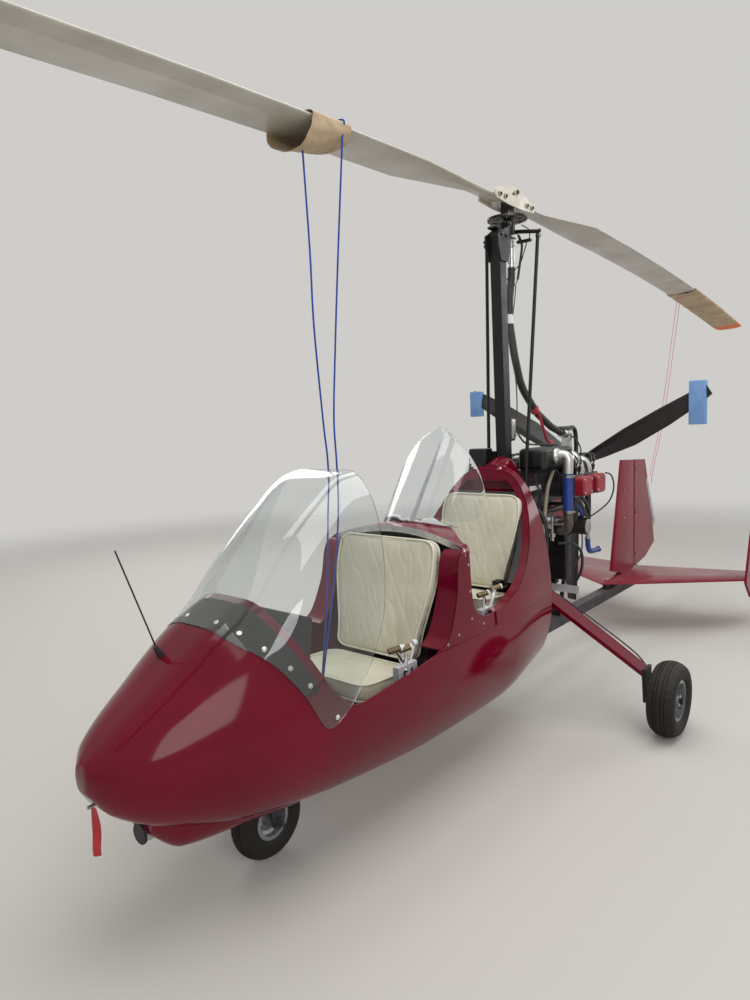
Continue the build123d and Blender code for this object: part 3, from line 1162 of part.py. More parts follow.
def make_hoses():
    """Rotor starter shaft in its hose, and the wide hoses on the port side of the engine."""
    start = (-42.0, 112.0, head_bottom() - STARTER_HEIGHT - SEAT_GAP)
    route = [start, (start[0], start[1], 2215), (-36, 78, 2110), (-30, 60, 1997), (0, 55, 1815),
             (18, 92, 1650), (30, 240, 1512), (30, 420, 1430), (30, 560, 1392)]
    hose = pipe(route, HOSE_RADIUS, [150, 200, 200, 200, 180, 180, 180])
    coupling = rod((30, 560, 1392), (30, 640, 1386), HOSE_RADIUS + 4)
    coupling += box(8, 52, 600, 650, PROP_Z + 74 + SEAT_GAP, 1386)
    x, y, top = CHARGE_HOSE
    wide = rod((x, y, CHARGE_HOSE_LOW + SEAT_GAP), (x, y, top - SEAT_GAP), CHARGE_HOSE_RADIUS)
    return {"starter_hose": hose, "hose_coupling": coupling - hose, "cooling_hoses": wide}


def make_parts():
    """Every piece of the gyrocopter by name."""
    body, chin_body = hull(POD_SECTIONS), hull(CHIN_SECTIONS)
    inner = hull(POD_SECTIONS, POD_WALL)
    legs = make_legs()
    cowl = cowl_body()
    parts = make_pod(body, chin_body, cowl)
    parts["front_screen"] = make_front_screen()
    parts |= make_rear_screen(cowl)
    parts |= make_seats()
    parts |= make_cockpit(inner)
    tail = make_tail()
    parts |= make_frame(legs, tail["stabiliser"])
    parts |= make_main_gear(legs)
    parts |= make_nose_gear()
    parts |= make_rotor()
    parts |= make_head()
    parts |= make_propeller()
    parts |= make_engine()
    parts |= tail
    parts |= make_fittings(body)
    parts |= make_hoses()
    return parts


def main():
    """Build every piece and write one file for each."""
    os.makedirs("parts", exist_ok=True)
    for name, shape in make_parts().items():
        export_step(shape, f"parts/{name}.step")
        print(name, len(shape.solids()), round(shape.volume / 1e6, 3))


if __name__ == "__main__":
    main()
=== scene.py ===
import logging
import math
from dataclasses import dataclass
from enum import Enum
from typing import Sequence

import bmesh
import bpy
from mathutils import Matrix, Vector, noise
from mathutils.kdtree import KDTree


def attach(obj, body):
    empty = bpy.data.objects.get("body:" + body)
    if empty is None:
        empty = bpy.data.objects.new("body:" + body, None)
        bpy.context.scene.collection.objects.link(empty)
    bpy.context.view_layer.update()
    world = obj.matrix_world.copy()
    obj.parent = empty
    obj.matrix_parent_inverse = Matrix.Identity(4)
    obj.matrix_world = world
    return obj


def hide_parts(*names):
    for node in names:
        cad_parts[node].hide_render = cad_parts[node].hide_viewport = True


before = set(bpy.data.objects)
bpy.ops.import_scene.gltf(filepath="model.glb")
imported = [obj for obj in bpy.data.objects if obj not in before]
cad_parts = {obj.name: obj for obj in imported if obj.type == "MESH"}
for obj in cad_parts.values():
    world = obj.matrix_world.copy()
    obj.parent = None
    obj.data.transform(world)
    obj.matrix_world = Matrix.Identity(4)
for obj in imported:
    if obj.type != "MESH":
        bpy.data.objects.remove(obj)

LOG = logging.getLogger("gyrocopter")
MM = 0.001
# The least radius of a turned ring, so that its points stay apart
ON_AXIS = 0.01
SHARP_ANGLE = 32.0
AIRFRAME = "airframe"
UP = (0, 0, 1)
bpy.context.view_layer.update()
Point = Sequence[float]
Outline = Sequence[tuple[float, float]]
Rows = Sequence[Sequence[float]]
Piece = bpy.types.Object
Tree = bpy.types.NodeTree
Socket = bpy.types.NodeSocket


class Relief(Enum):
    """How a fine surface was made."""

    SPRAYED = "sprayed"
    GRAINED = "grained"
    WOVEN = "woven"
    BRUSHED = "brushed"
    CAST = "cast"


def linear(colour: str, alpha: float = 1.0) -> tuple[float, float, float, float]:
    """Turn an sRGB hex colour to linear.

    Args:
        colour: Six hex digits after a hash.
        alpha: Opacity.

    Returns:
        Red, green, blue and alpha.
    """
    parts = [int(colour[i : i + 2], 16) / 255 for i in (1, 3, 5)]
    curve = [c / 12.92 if c <= 0.04045 else ((c + 0.055) / 1.055) ** 2.4 for c in parts]
    return curve[0], curve[1], curve[2], alpha


def add_node(tree: Tree, kind: str, inputs: dict | None = None, **settings) -> bpy.types.Node:
    """Add a shader node.

    Args:
        tree: The node tree.
        kind: The node's type name.
        inputs: Socket name or number to a constant or to the socket that feeds it.
        **settings: The node's own settings.

    Returns:
        The new node.
    """
    made = tree.nodes.new(kind)
    for key, value in settings.items():
        setattr(made, key, value)
    for key, value in (inputs or {}).items():
        if isinstance(value, Socket):
            tree.links.new(value, made.inputs[key])
        else:
            made.inputs[key].default_value = value
    return made


@dataclass(frozen=True)
class Finish:
    """What a surface is made of, and how it takes the light."""

    name: str
    colour: str
    shade: str
    roughness: float
    slot: str
    relief: Relief = Relief.SPRAYED
    relief_mm: float = 2.0
    depth_mm: float = 0.02
    mottle_mm: float = 180.0
    spread: float = 0.10
    metallic: float = 0.0
    ior: float = 1.5
    dust: float = 0.0
    sheen: float = 0.0
    transmission: float = 0.0

    def height(self, tree: Tree, place: Socket) -> Socket:
        """Build the height field of the fine surface.

        Args:
            tree: The node tree.
            place: The position on the object, in metres.

        Returns:
            A socket from 0 to 1.
        """
        scale = 1 / (self.relief_mm * MM)
        if self.relief is Relief.GRAINED:
            cells = add_node(
                tree, "ShaderNodeTexVoronoi", {"Vector": place, "Scale": scale}, feature="SMOOTH_F1"
            )
            return cells.outputs["Distance"]
        if self.relief is Relief.WOVEN:
            period = 0.314 / (self.relief_mm * MM)
            waves = [
                add_node(
                    tree, "ShaderNodeTexWave",
                    {"Vector": place, "Scale": period, "Distortion": 0.6, "Detail": 1.0, "Detail Scale": 0.4},
                    bands_direction=way,
                )
                for way in ("X", "Y")
            ]
            both = add_node(
                tree, "ShaderNodeMath",
                {0: waves[0].outputs["Fac"], 1: waves[1].outputs["Fac"]}, operation="MAXIMUM",
            )
            return both.outputs[0]
        if self.relief is Relief.BRUSHED:
            stretched = add_node(tree, "ShaderNodeMapping", {"Vector": place, "Scale": (1.0, 0.05, 1.0)})
            place = stretched.outputs["Vector"]
        detail = 8.0 if self.relief is Relief.CAST else 3.0
        grit = add_node(tree, "ShaderNodeTexNoise", {"Vector": place, "Scale": scale, "Detail": detail})
        return grit.outputs["Fac"]

    def material(self) -> bpy.types.Material:
        """Make the material once, or return it.

        Returns:
            The material of this finish.
        """
        known = bpy.data.materials.get(self.name)
        if known:
            return known
        made = bpy.data.materials.new(self.name)
        made.use_nodes = True
        tree = made.node_tree
        tree.nodes.clear()
        place = add_node(tree, "ShaderNodeTexCoord").outputs["Object"]
        mottle = add_node(
            tree, "ShaderNodeTexNoise",
            {"Vector": place, "Scale": 1 / (self.mottle_mm * MM), "Detail": 5.0, "Roughness": 0.6},
        )
        share = add_node(
            tree, "ShaderNodeMapRange",
            {"Value": mottle.outputs["Fac"], "From Min": 0.36, "From Max": 0.68},
        )
        tone = add_node(
            tree, "ShaderNodeMix",
            {"Factor": share.outputs[0], 6: linear(self.colour), 7: linear(self.shade)},
            data_type="RGBA",
        )
        colour = tone.outputs[2]
        gloss = add_node(
            tree, "ShaderNodeMapRange",
            {
                "Value": mottle.outputs["Fac"], "From Min": 0.3, "From Max": 0.7,
                "To Min": max(self.roughness - self.spread / 2, 0.0),
                "To Max": min(self.roughness + self.spread / 2, 1.0),
            },
        ).outputs[0]
        if self.dust:
            colour, gloss = self.dusted(tree, place, colour, gloss)
        shader = add_node(
            tree, "ShaderNodeBsdfPrincipled",
            {
                "Base Color": colour, "Roughness": gloss, "Metallic": self.metallic, "IOR": self.ior,
                "Sheen Weight": self.sheen, "Transmission Weight": self.transmission,
            },
        )
        if self.depth_mm:
            bump = add_node(
                tree, "ShaderNodeBump",
                {"Height": self.height(tree, place), "Distance": self.depth_mm * MM},
            )
            tree.links.new(bump.outputs["Normal"], shader.inputs["Normal"])
        add_node(tree, "ShaderNodeOutputMaterial", {"Surface": shader.outputs["BSDF"]})
        return made

    def dusted(self, tree: Tree, place: Socket, colour: Socket, gloss: Socket) -> tuple[Socket, Socket]:
        """Lay pale dust on the faces that look up.

        Args:
            tree: The node tree.
            place: The position socket.
            colour: The clean colour socket.
            gloss: The clean roughness socket.

        Returns:
            The dusted colour and roughness sockets.
        """
        facing = add_node(tree, "ShaderNodeNewGeometry").outputs["Normal"]
        up = add_node(tree, "ShaderNodeSeparateXYZ", {"Vector": facing}).outputs["Z"]
        settled = add_node(
            tree, "ShaderNodeMapRange", {"Value": up, "From Min": 0.2, "From Max": 0.95, "To Max": self.dust}
        ).outputs[0]
        patches = add_node(
            tree, "ShaderNodeTexNoise", {"Vector": place, "Scale": 14.0, "Detail": 6.0}
        ).outputs["Fac"]
        amount = add_node(tree, "ShaderNodeMath", {0: settled, 1: patches}, operation="MULTIPLY").outputs[0]
        mixed = add_node(tree, "ShaderNodeMix", {"Factor": amount}, data_type="RGBA")
        tree.links.new(colour, mixed.inputs[6])
        mixed.inputs[7].default_value = linear("#a89f90")
        rough = add_node(
            tree, "ShaderNodeMath", {0: amount, 1: 0.5, 2: gloss}, operation="MULTIPLY_ADD"
        ).outputs[0]
        return mixed.outputs[2], rough


# Polyester gelcoat sprayed in a mould: deep, wet gloss with faint orange peel
GELCOAT = Finish("wet_gelcoat", "#6f0121", "#61011c", 0.11, "maroon_gelcoat", relief_mm=9, depth_mm=0.03,
                 mottle_mm=420, spread=0.05, ior=1.33, dust=0.02)
# The tail's gelcoat has stood in dust, so it is paler and less wet
TAIL_GELCOAT = Finish("tail_gelcoat", "#850529", "#740423", 0.22, "maroon_gelcoat", relief_mm=9,
                      depth_mm=0.03, mottle_mm=300, spread=0.12, ior=1.36, dust=0.10)
# Cast acrylic sheet: clear, with a grey edge
CLEAR = Finish("clear_acrylic", "#f1f5f6", "#ecf1f2", 0.015, "clear_sheet", depth_mm=0, spread=0.01,
               ior=1.49, transmission=1)
# Powder coat on steel tube: satin black with fine sprayed texture
POWDER_BLACK = Finish("black_powder_coat", "#121213", "#1a191b", 0.42, "black_coating", relief_mm=1.6,
                      depth_mm=0.03, mottle_mm=90, spread=0.16, ior=1.4, dust=0.08)
# The same coat in dark grey, dusty on top
POWDER_GREY = Finish("grey_powder_coat", "#36353a", "#2e2d31", 0.45, "dark_grey_coating", relief_mm=1.8,
                     depth_mm=0.04, mottle_mm=120, spread=0.2, ior=1.4, dust=0.22)
# Mill-finish aluminium sheet, rubbed along its length
MILL_ALUMINIUM = Finish("brushed_aluminium", "#c9cacd", "#b2b3b6", 0.30, "bare_aluminium", Relief.BRUSHED,
                        relief_mm=1.2, depth_mm=0.012, mottle_mm=60, spread=0.14, metallic=1)
# Sand-cast alloy with an oil film in the hollows
CAST_ALLOY = Finish("cast_alloy", "#77777a", "#57575a", 0.46, "cast_engine_metal", Relief.CAST,
                    relief_mm=3, depth_mm=0.10, mottle_mm=50, spread=0.22, metallic=0.85)
# Glass cloth and epoxy blade, painted off-white and streaked by weather
BLADE_WHITE = Finish("blade_enamel", "#c2beb3", "#aea99d", 0.36, "white_blade_paint", relief_mm=5,
                     mottle_mm=260, spread=0.14, dust=0.1)
# Brushed cream enamel on the hub's plates: smooth, half matt
HUB_CREAM = Finish("hub_enamel", "#d0c9bb", "#beb6a5", 0.35, "cream_hub_plate", relief_mm=3,
                   mottle_mm=70, spread=0.14)
# Coated vinyl cloth over foam: pebbled grain and a soft sheen
VINYL_CREAM = Finish("cream_vinyl", "#dad5bf", "#cbc5ac", 0.46, "cream_upholstery", Relief.GRAINED,
                     relief_mm=2.6, depth_mm=0.10, mottle_mm=150, spread=0.12, sheen=0.1)
# The same vinyl drawn tight over a cord
VINYL_PALE = Finish("piping_vinyl", "#e3e0ce", "#d8d4bd", 0.42, "cream_upholstery", Relief.GRAINED,
                    relief_mm=2.6, depth_mm=0.06, mottle_mm=80, spread=0.12)
# Moulded leatherette: coarse grain, almost matt
VINYL_BLACK = Finish("black_vinyl", "#1b1b1d", "#242427", 0.55, "black_leatherette", Relief.GRAINED,
                     relief_mm=2.4, depth_mm=0.12, mottle_mm=110, spread=0.12, dust=0.15)
# Hand-laid black resin shell: hard, with a slight ripple of the cloth under it
RESIN_BLACK = Finish("black_resin", "#121213", "#1a1a1c", 0.36, "black_shell", relief_mm=6, depth_mm=0.06,
                     mottle_mm=90, spread=0.18, ior=1.42, dust=0.12)
# Cotton canvas, coarse plain weave, drawn at 5 mm so that it still shows
CANVAS = Finish("cotton_canvas", "#c2ac8c", "#a88f6c", 0.85, "canvas", Relief.WOVEN, relief_mm=5,
                depth_mm=0.5, mottle_mm=110, sheen=0.15)
# Dyed canvas at the sleeve's tip
CANVAS_ORANGE = Finish("orange_canvas", "#ef7a3a", "#e06a2c", 0.8, "canvas", Relief.WOVEN, relief_mm=5,
                       depth_mm=0.4, mottle_mm=60, sheen=0.15)
# Moulded tyre rubber, grey where the road has rubbed it
RUBBER = Finish("moulded_rubber", "#191817", "#242220", 0.78, "tyre_rubber", Relief.CAST, depth_mm=0.12,
                mottle_mm=45, spread=0.18, ior=1.4, dust=0.14)
# Silver enamel on cast rims
RIM_SILVER = Finish("rim_enamel", "#a9aaac", "#8f9092", 0.36, "silver_rim", depth_mm=0.03, mottle_mm=40,
                    spread=0.2, metallic=0.8)
# Crackle-finish enamel on the rocker covers
COVER_RED = Finish("red_crackle", "#9d1a2c", "#7f1020", 0.42, "red_cover", Relief.GRAINED, relief_mm=3.2,
                   depth_mm=0.18, mottle_mm=30, spread=0.2, dust=0.2)
# Closed-cell foam boards on the propeller
FOAM_BLUE = Finish("blue_foam", "#7b9fcf", "#6a92c8", 0.78, "blue_cover", Relief.GRAINED, relief_mm=3.5,
                   depth_mm=0.25, mottle_mm=60)
# Silicone hose with the print of its wrapping tape
SILICONE_BLUE = Finish("blue_silicone", "#22418f", "#1b3479", 0.42, "blue_cover", Relief.GRAINED,
                       relief_mm=2.2, depth_mm=0.15, mottle_mm=50, spread=0.14, dust=0.12)
# Closed-cell sealing tape behind the clear screen
SEAL_BLACK = Finish("black_seal", "#23241f", "#2e2f29", 0.55, "black_rubber", Relief.GRAINED, relief_mm=3,
                    depth_mm=0.05, mottle_mm=140, spread=0.2, dust=0.2)
# Polyester belt webbing, its ribs drawn at 4 mm so that they show
WEBBING = Finish("belt_webbing", "#151516", "#1e1e20", 0.7, "black_rubber", Relief.WOVEN, relief_mm=4,
                 depth_mm=0.3, mottle_mm=80, spread=0.12, sheen=0.2)
# Extruded rubber: dull, with a dusty bloom
HOSE_BLACK = Finish("black_hose_rubber", "#1c1c1d", "#28282a", 0.5, "black_rubber", Relief.GRAINED,
                    relief_mm=1.8, depth_mm=0.10, mottle_mm=60, spread=0.18, dust=0.2)
# Mild steel scaled by heat
CANISTER_GREY = Finish("scaled_steel", "#3d3c3b", "#2f2c29", 0.6, "grey_canister", Relief.CAST,
                       relief_mm=3, depth_mm=0.12, mottle_mm=50, spread=0.2, metallic=0.6, dust=0.1)
# Carbon propeller blade in dark lacquer
CARBON_DARK = Finish("carbon_lacquer", "#1d1a1b", "#262223", 0.32, "dark_blade", relief_mm=4,
                     mottle_mm=80, spread=0.14, dust=0.2)
# Pressed glass with soft ripples
LENS = Finish("lamp_lens", "#eef2f2", "#e4e8e8", 0.05, "lamp_glass", relief_mm=6, depth_mm=0.2, ior=1.52,
              spread=0.02, transmission=0.6)
# Laid polyester rope and cord: matt and lumpy
ROPE_BLUE = Finish("blue_rope", "#1f49ad", "#16378c", 0.7, "canvas", Relief.GRAINED, relief_mm=4,
                   depth_mm=0.6, mottle_mm=20)
ROPE_PINK = Finish("pink_cord", "#d98a96", "#c66f7e", 0.75, "canvas", Relief.GRAINED, relief_mm=3,
                   depth_mm=0.4, mottle_mm=20)
# Woven nylon ribbon: a faint sheen
RIBBON_RED = Finish("red_ribbon", "#b3202c", "#991724", 0.6, "canvas", Relief.WOVEN, relief_mm=3,
                    depth_mm=0.2, mottle_mm=40, sheen=0.2)
# Bare plastic label stock
TAG_WHITE = Finish("blank_tag", "#e4e2dc", "#d4d1c8", 0.5, "cream_hub_plate", relief_mm=3)
# Braided glass sleeve over a hose
TAN_HOSE = Finish("tan_braid", "#a39a84", "#8d846f", 0.6, "black_rubber", Relief.WOVEN, relief_mm=3,
                  depth_mm=0.2, mottle_mm=40)
# Zinc-plated steel: bright, slightly clouded
ZINC = Finish("zinc_steel", "#b8b8b4", "#9c9b96", 0.34, "bare_aluminium", relief_mm=1, depth_mm=0.01,
              mottle_mm=15, spread=0.2, metallic=1)
# Plated steel with a dark, oily film
ZINC_DARK = Finish("oiled_steel", "#5a5852", "#3e3c38", 0.42, "bare_aluminium", relief_mm=1.4,
                   mottle_mm=15, spread=0.24, metallic=1)
# Stainless screw heads that catch the light
SCREW_BRIGHT = Finish("bright_screw", "#e8e8e4", "#dadad4", 0.22, "bare_aluminium", relief_mm=1,
                      depth_mm=0.01, mottle_mm=15, metallic=1)
# Bronze-anodised aluminium
BRONZE = Finish("bronze_anodised", "#6d6048", "#5b4f3a", 0.38, "bare_aluminium", Relief.BRUSHED,
                relief_mm=1.2, depth_mm=0.01, mottle_mm=20, spread=0.16, metallic=0.9)
# Spun aluminium duct, matt where it has oxidised
PIPE_BRIGHT = Finish("spun_aluminium", "#cfcfcc", "#b9b9b6", 0.34, "bare_aluminium", Relief.BRUSHED,
                     relief_mm=1.6, mottle_mm=40, spread=0.2, metallic=0.9)
# Rolled steel tube, brown from heat
PIPE_DULL = Finish("dull_steel_tube", "#6b655c", "#554f47", 0.5, "bare_aluminium", Relief.CAST,
                   relief_mm=2.4, depth_mm=0.05, mottle_mm=40, spread=0.2, metallic=0.7)
# Anodised strip and plates: a pale colour kept matt and little metallic, partly a painted highlight, so that
# they stay bright from every side
SILVER_AND_PAINTED_HIGHLIGHT = Finish("anodised_silver_and_painted_highlight", "#d9dadc", "#c6c7ca", 0.42, "bare_aluminium", Relief.BRUSHED,
                      relief_mm=1.4, depth_mm=0.01, mottle_mm=50, spread=0.16, metallic=0.35)
# Matt black print and white print on the dials; the same black is also the painted shade of the slots in the
# lever quadrants
DIAL_BLACK_AND_SLOT_SHADE = Finish("dial_black_and_slot_shade", "#0f0f10", "#141416", 0.35, "black_leatherette", depth_mm=0)
MARK_WHITE = Finish("dial_marks", "#e8e8e4", "#e0e0dc", 0.5, "cream_hub_plate", depth_mm=0)

NODE_FINISHES = (
    (GELCOAT, "pod_shell mid_cowl headrest_cowl chin_fairing gear_legs"),
    (RESIN_BLACK, "wheel_well seat_shells airbox electrical_box oil_tank"),
    (MILL_ALUMINIUM, "cowl_trim intake_pipes trim_tab hose_coupling"),
    (CLEAR, "front_screen rear_screen"),
    # The stay, the levers and the plate take the pale silver that is partly a painted highlight
    (SILVER_AND_PAINTED_HIGHLIGHT, "screen_stay levers engine_plate"),
    (VINYL_CREAM, "seat_cushions seat_backs"),
    (VINYL_BLACK, "instrument_panel"),
    (POWDER_BLACK, "flight_controls mast gear_saddle engine_frame axle_brackets "
     "teeter_tower mast_cheeks bearing_head control_rods prop_hub"),
    (POWDER_GREY, "keel nose_fork"),
    (RUBBER, "port_tyre starboard_tyre nose_tyre"),
    (RIM_SILVER, "port_rim starboard_rim nose_rim"),
    (BLADE_WHITE, "rotor_blades"),
    (CANVAS, "blade_sleeves"),
    (HUB_CREAM, "hub_bar"),
    (ZINC_DARK, "ring_gear"),
    (ZINC, "rotor_starter pitot_tube"),
    (CARBON_DARK, "prop_blades"),
    (FOAM_BLUE, "prop_covers"),
    (CAST_ALLOY, "engine_block"),
    (COVER_RED, "valve_covers"),
    (TAIL_GELCOAT, "stabiliser end_plates fin rudder"),
    (CANISTER_GREY, "exhaust_canister"),
    (LENS, "landing_lamp"),
    (HOSE_BLACK, "whip_aerial starter_hose"),
    (SILICONE_BLUE, "cooling_hoses"),
)

# Pod sections from the nose to the back, in millimetres
# columns: y, half width, half floor, half deck, floor z, widest z, deck z
POD_ROWS = (
    (-2402, 34, 14, 8, 512, 552, 592),
    (-2352, 118, 40, 20, 438, 545, 640),
    (-2210, 212, 84, 36, 358, 536, 742),
    (-1960, 305, 130, 60, 292, 530, 905),
    (-1600, 356, 165, 90, 250, 530, 1010),
    (-1100, 376, 190, 110, 222, 545, 1052),
    (-640, 368, 190, 110, 218, 560, 1112),
    (-190, 318, 150, 60, 266, 600, 1248),
)
CHIN_ROWS = (
    (-2238, 64, 24, 20, 322, 380, 440),
    (-2170, 148, 60, 60, 266, 370, 440),
    (-1960, 176, 74, 60, 240, 345, 420),
    (-1700, 182, 84, 60, 206, 320, 400),
    (-1520, 160, 84, 60, 212, 310, 380),
)
# Crown of the front windscreen, columns: y, half width of its top, z
CROWN_ROWS = (
    (-2080, 44, 830), (-2016, 52, 872), (-1910, 60, 948), (-1770, 75, 1088),
    (-1620, 95, 1210), (-1470, 110, 1306), (-1370, 115, 1326),
)
# Outlines seen from the side, columns: y, z
FRONT_CUT = (
    (-1862, 1500), (-1862, 905), (-1750, 660), (-1667, 586), (-1564, 596),
    (-1367, 620), (-1195, 645), (-1150, 668), (-1115, 728), (-1077, 819),
    (-1064, 930), (-1046, 972), (-1003, 990), (-1003, 1500),
)
REAR_CUT = (
    (-800, 1500), (-826, 1050), (-958, 1010), (-975, 985), (-977, 800),
    (-956, 726), (-869, 692), (-717, 704), (-570, 750), (-464, 820),
    (-374, 912), (-290, 1042), (-248, 1143), (-232, 1218), (-228, 1500),
)
SCREEN_EDGE = (
    (-2030, 1500), (-2016, 862), (-1932, 798), (-1862, 690), (-1800, 560),
    (-1768, 548), (-1690, 590), (-1590, 700), (-1505, 830), (-1462, 980),
    (-1420, 1180), (-1388, 1500),
)
# The dark band of sealing tape under the front screen
SEAL_EDGE = (
    (-2030, 1500), (-2016, 862), (-1932, 798), (-1862, 690), (-1852, 670),
    (-1786, 670), (-1889, 892), (-1890, 1500),
)
# The boxy cowl between the seats, columns: y, half width low, half width at the corner, corner z, crown z
COWL_ROWS = (
    (-1260, 367, 350, 1000, 1046), (-1100, 371, 351, 1001, 1050),
    (-960, 371, 350, 1003, 1062), (-780, 369, 326, 1006, 1066),
)
COWL_BASE = 640
COWL_FRONT = -1240
COWL_SPLIT = -800
CUT_ROUND = 40
RING_STEP = 16
WIDE = 600


def row_at(rows: Rows, y: float) -> tuple[float, ...]:
    """Read a table of sections at any y, without overshoot.

    Args:
        rows: Rows that start with their y.
        y: Where to read.

    Returns:
        A row of the same columns.
    """
    last = len(rows) - 2
    i = max([k for k in range(last + 1) if rows[k][0] <= y] or [0])

    def secant(k: int, column: int) -> float:
        """Slope of the straight line over one stretch."""
        k = min(max(k, 0), last)
        return (rows[k + 1][column] - rows[k][column]) / (rows[k + 1][0] - rows[k][0])

    def slope(k: int, column: int) -> float:
        """Slope at a row, and none where the column turns back."""
        before, after = secant(k - 1, column), secant(k, column)
        return 2 * before * after / (before + after) if before * after > 0 else 0.0

    low, high = rows[i], rows[i + 1]
    width = high[0] - low[0]
    t = (y - low[0]) / width
    values = [y]
    for column in range(1, len(low)):
        rise = high[column] - low[column]
        bend = t * (1 - t) ** 2 * (width * slope(i, column) - rise)
        bend += t * t * (1 - t) * (rise - width * slope(i + 1, column))
        values.append(low[column] + t * rise + bend)
    return tuple(values)


def ring_points(row: Sequence[float], steps: int = 22) -> list[tuple[float, float]]:
    """Go once round a section of the pod.

    Args:
        row: half width, half floor, half deck, floor, widest and deck.
        steps: Points on each elliptic quarter.

    Returns:
        Points (x, z), from the middle of the floor to port and round.
    """
    half, floor_half, deck_half, floor, widest, deck = row
    side = [(floor_half * k / 4, floor) for k in range(4)]
    for k in range(steps):
        a = math.pi / 2 * k / steps
        side.append((floor_half + (half - floor_half) * math.sin(a), widest - (widest - floor) * math.cos(a)))
    for k in range(steps):
        a = math.pi / 2 * k / steps
        side.append((deck_half + (half - deck_half) * math.cos(a), widest + (deck - widest) * math.sin(a)))
    side += [(deck_half * (1 - k / 4), deck) for k in range(4)]
    return side + [(0.0, deck)] + [(-x, z) for x, z in reversed(side[1:])]


def link(name: str, mesh: bpy.types.Mesh) -> Piece:
    """Put a mesh in the scene as an object.

    Args:
        name: The object's name.
        mesh: Its mesh.

    Returns:
        The object.
    """
    made = bpy.data.objects.new(name, mesh)
    bpy.context.scene.collection.objects.link(made)
    return made


def object_from(name: str, bm: bmesh.types.BMesh, outward: bool = True) -> Piece:
    """Put a gathered mesh in the scene as an object.

    Args:
        name: The object's name.
        bm: The mesh, which is freed.
        outward: Whether its faces are turned outwards.

    Returns:
        The object, not yet riding on a body.
    """
    if outward:
        bmesh.ops.recalc_face_normals(bm, faces=bm.faces)
    mesh = bpy.data.meshes.new(name)
    bm.to_mesh(mesh)
    bm.free()
    return link(name, mesh)


def bridge(bm: bmesh.types.BMesh, rings: Sequence[list], around: bool = True) -> None:
    """Join rings or rows of vertices by quads.

    Args:
        bm: The mesh.
        rings: Rings of as many vertices each.
        around: Whether each of them closes on itself.
    """
    count = len(rings[0])
    for low, high in zip(rings, rings[1:]):
        for k in range(count if around else count - 1):
            after = (k + 1) % count
            bm.faces.new((low[k], low[after], high[after], high[k]))


def close_rings(bm: bmesh.types.BMesh, rings: Sequence[list]) -> None:
    """Join rings of vertices and close both ends.

    Args:
        bm: The mesh.
        rings: Rings of as many vertices each.
    """
    bridge(bm, rings)
    bm.faces.new(list(reversed(rings[0])))
    bm.faces.new(rings[-1])


def closed_rings(name: str, rings: Sequence[Sequence[Point]]) -> Piece:
    """Make a closed body through rings of as many points each.

    Args:
        name: The object's name.
        rings: Rings of points, in metres.

    Returns:
        The object, not yet riding on a body.
    """
    bm = bmesh.new()
    close_rings(bm, [[bm.verts.new(p) for p in ring] for ring in rings])
    return object_from(name, bm)


def hull_body(name: str, rows: Rows, inset: float = 0.0) -> Piece:
    """Make the pod's or the chin's body, or the same body a wall inside it.

    Args:
        name: The object's name.
        rows: The section table.
        inset: The wall, in millimetres.

    Returns:
        The closed body.
    """
    first, last = rows[0][0], rows[-1][0]
    count = max(2, round((last - first) / RING_STEP))
    middle_y, half_y = (first + last) / 2, (last - first) / 2
    floor, deck = min(row[4] for row in rows), max(row[6] for row in rows)
    middle_z, half_z = (floor + deck) / 2, (deck - floor) / 2
    half_x = max(row[1] for row in rows)
    kx, ky, kz = (1 - inset / size for size in (half_x, half_y, half_z))
    rings = []
    for k in range(count + 1):
        y = first + (last - first) * k / count
        y_in = middle_y + (y - middle_y) * ky
        rings.append(
            [(x * kx * MM, y_in * MM, (middle_z + (z - middle_z) * kz) * MM)
             for x, z in ring_points(row_at(rows, y)[1:])]
        )
    return closed_rings(name, rings)


def prism(name: str, outline: Outline, half: float = WIDE) -> Piece:
    """Make a slab from an outline seen from the side.

    Args:
        name: The object's name.
        outline: Points (y, z) in millimetres.
        half: Half its width.

    Returns:
        The closed slab.
    """
    rings = [[(x * MM, y * MM, z * MM) for y, z in outline] for x in (-half, half)]
    return closed_rings(name, rings)


def carve(target: Piece, tool: Piece, how: str = "DIFFERENCE") -> None:
    """Cut, join or keep the common part of two bodies, and remove the tool.

    Args:
        target: The body that changes.
        tool: The body that cuts.
        how: The boolean operation.
    """
    step = target.modifiers.new("carve", "BOOLEAN")
    step.object, step.operation, step.solver = tool, how, "EXACT"
    settle(target)
    bpy.data.objects.remove(tool)


def settle(piece: Piece) -> None:
    """Apply all modifiers of a piece.

    Args:
        piece: The piece, which keeps its name.
    """
    seen = bpy.context.evaluated_depsgraph_get()
    mesh = bpy.data.meshes.new_from_object(piece.evaluated_get(seen))
    piece.modifiers.clear()
    piece.data = mesh


def copy_of(piece: Piece, name: str) -> Piece:
    """Make a separate copy of a piece."""
    return link(name, piece.data.copy())


def smooth(mesh: bpy.types.Mesh, angle: float = SHARP_ANGLE) -> None:
    """Shade a mesh smooth, with sharp edges above an angle in degrees."""
    mesh.shade_smooth()
    mesh.set_sharp_from_angle(angle=math.radians(angle))


def dress(
    piece: Piece, finish: Finish, *stands_for: str, body: str = AIRFRAME, angle: float = SHARP_ANGLE
) -> Piece:
    """Finish a piece and let it ride on its body.

    Args:
        piece: The piece.
        finish: Its finish.
        *stands_for: Nodes that it replaces.
        body: The body that carries it.
        angle: The angle above which an edge stays sharp.

    Returns:
        The piece.
    """
    piece.data.materials.clear()
    piece.data.materials.append(finish.material())
    if piece.type == "MESH":
        smooth(piece.data, angle)
    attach(piece, body)
    if stands_for:
        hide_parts(*stands_for)
    LOG.info("%s rides on %s", piece.name, body)
    return piece


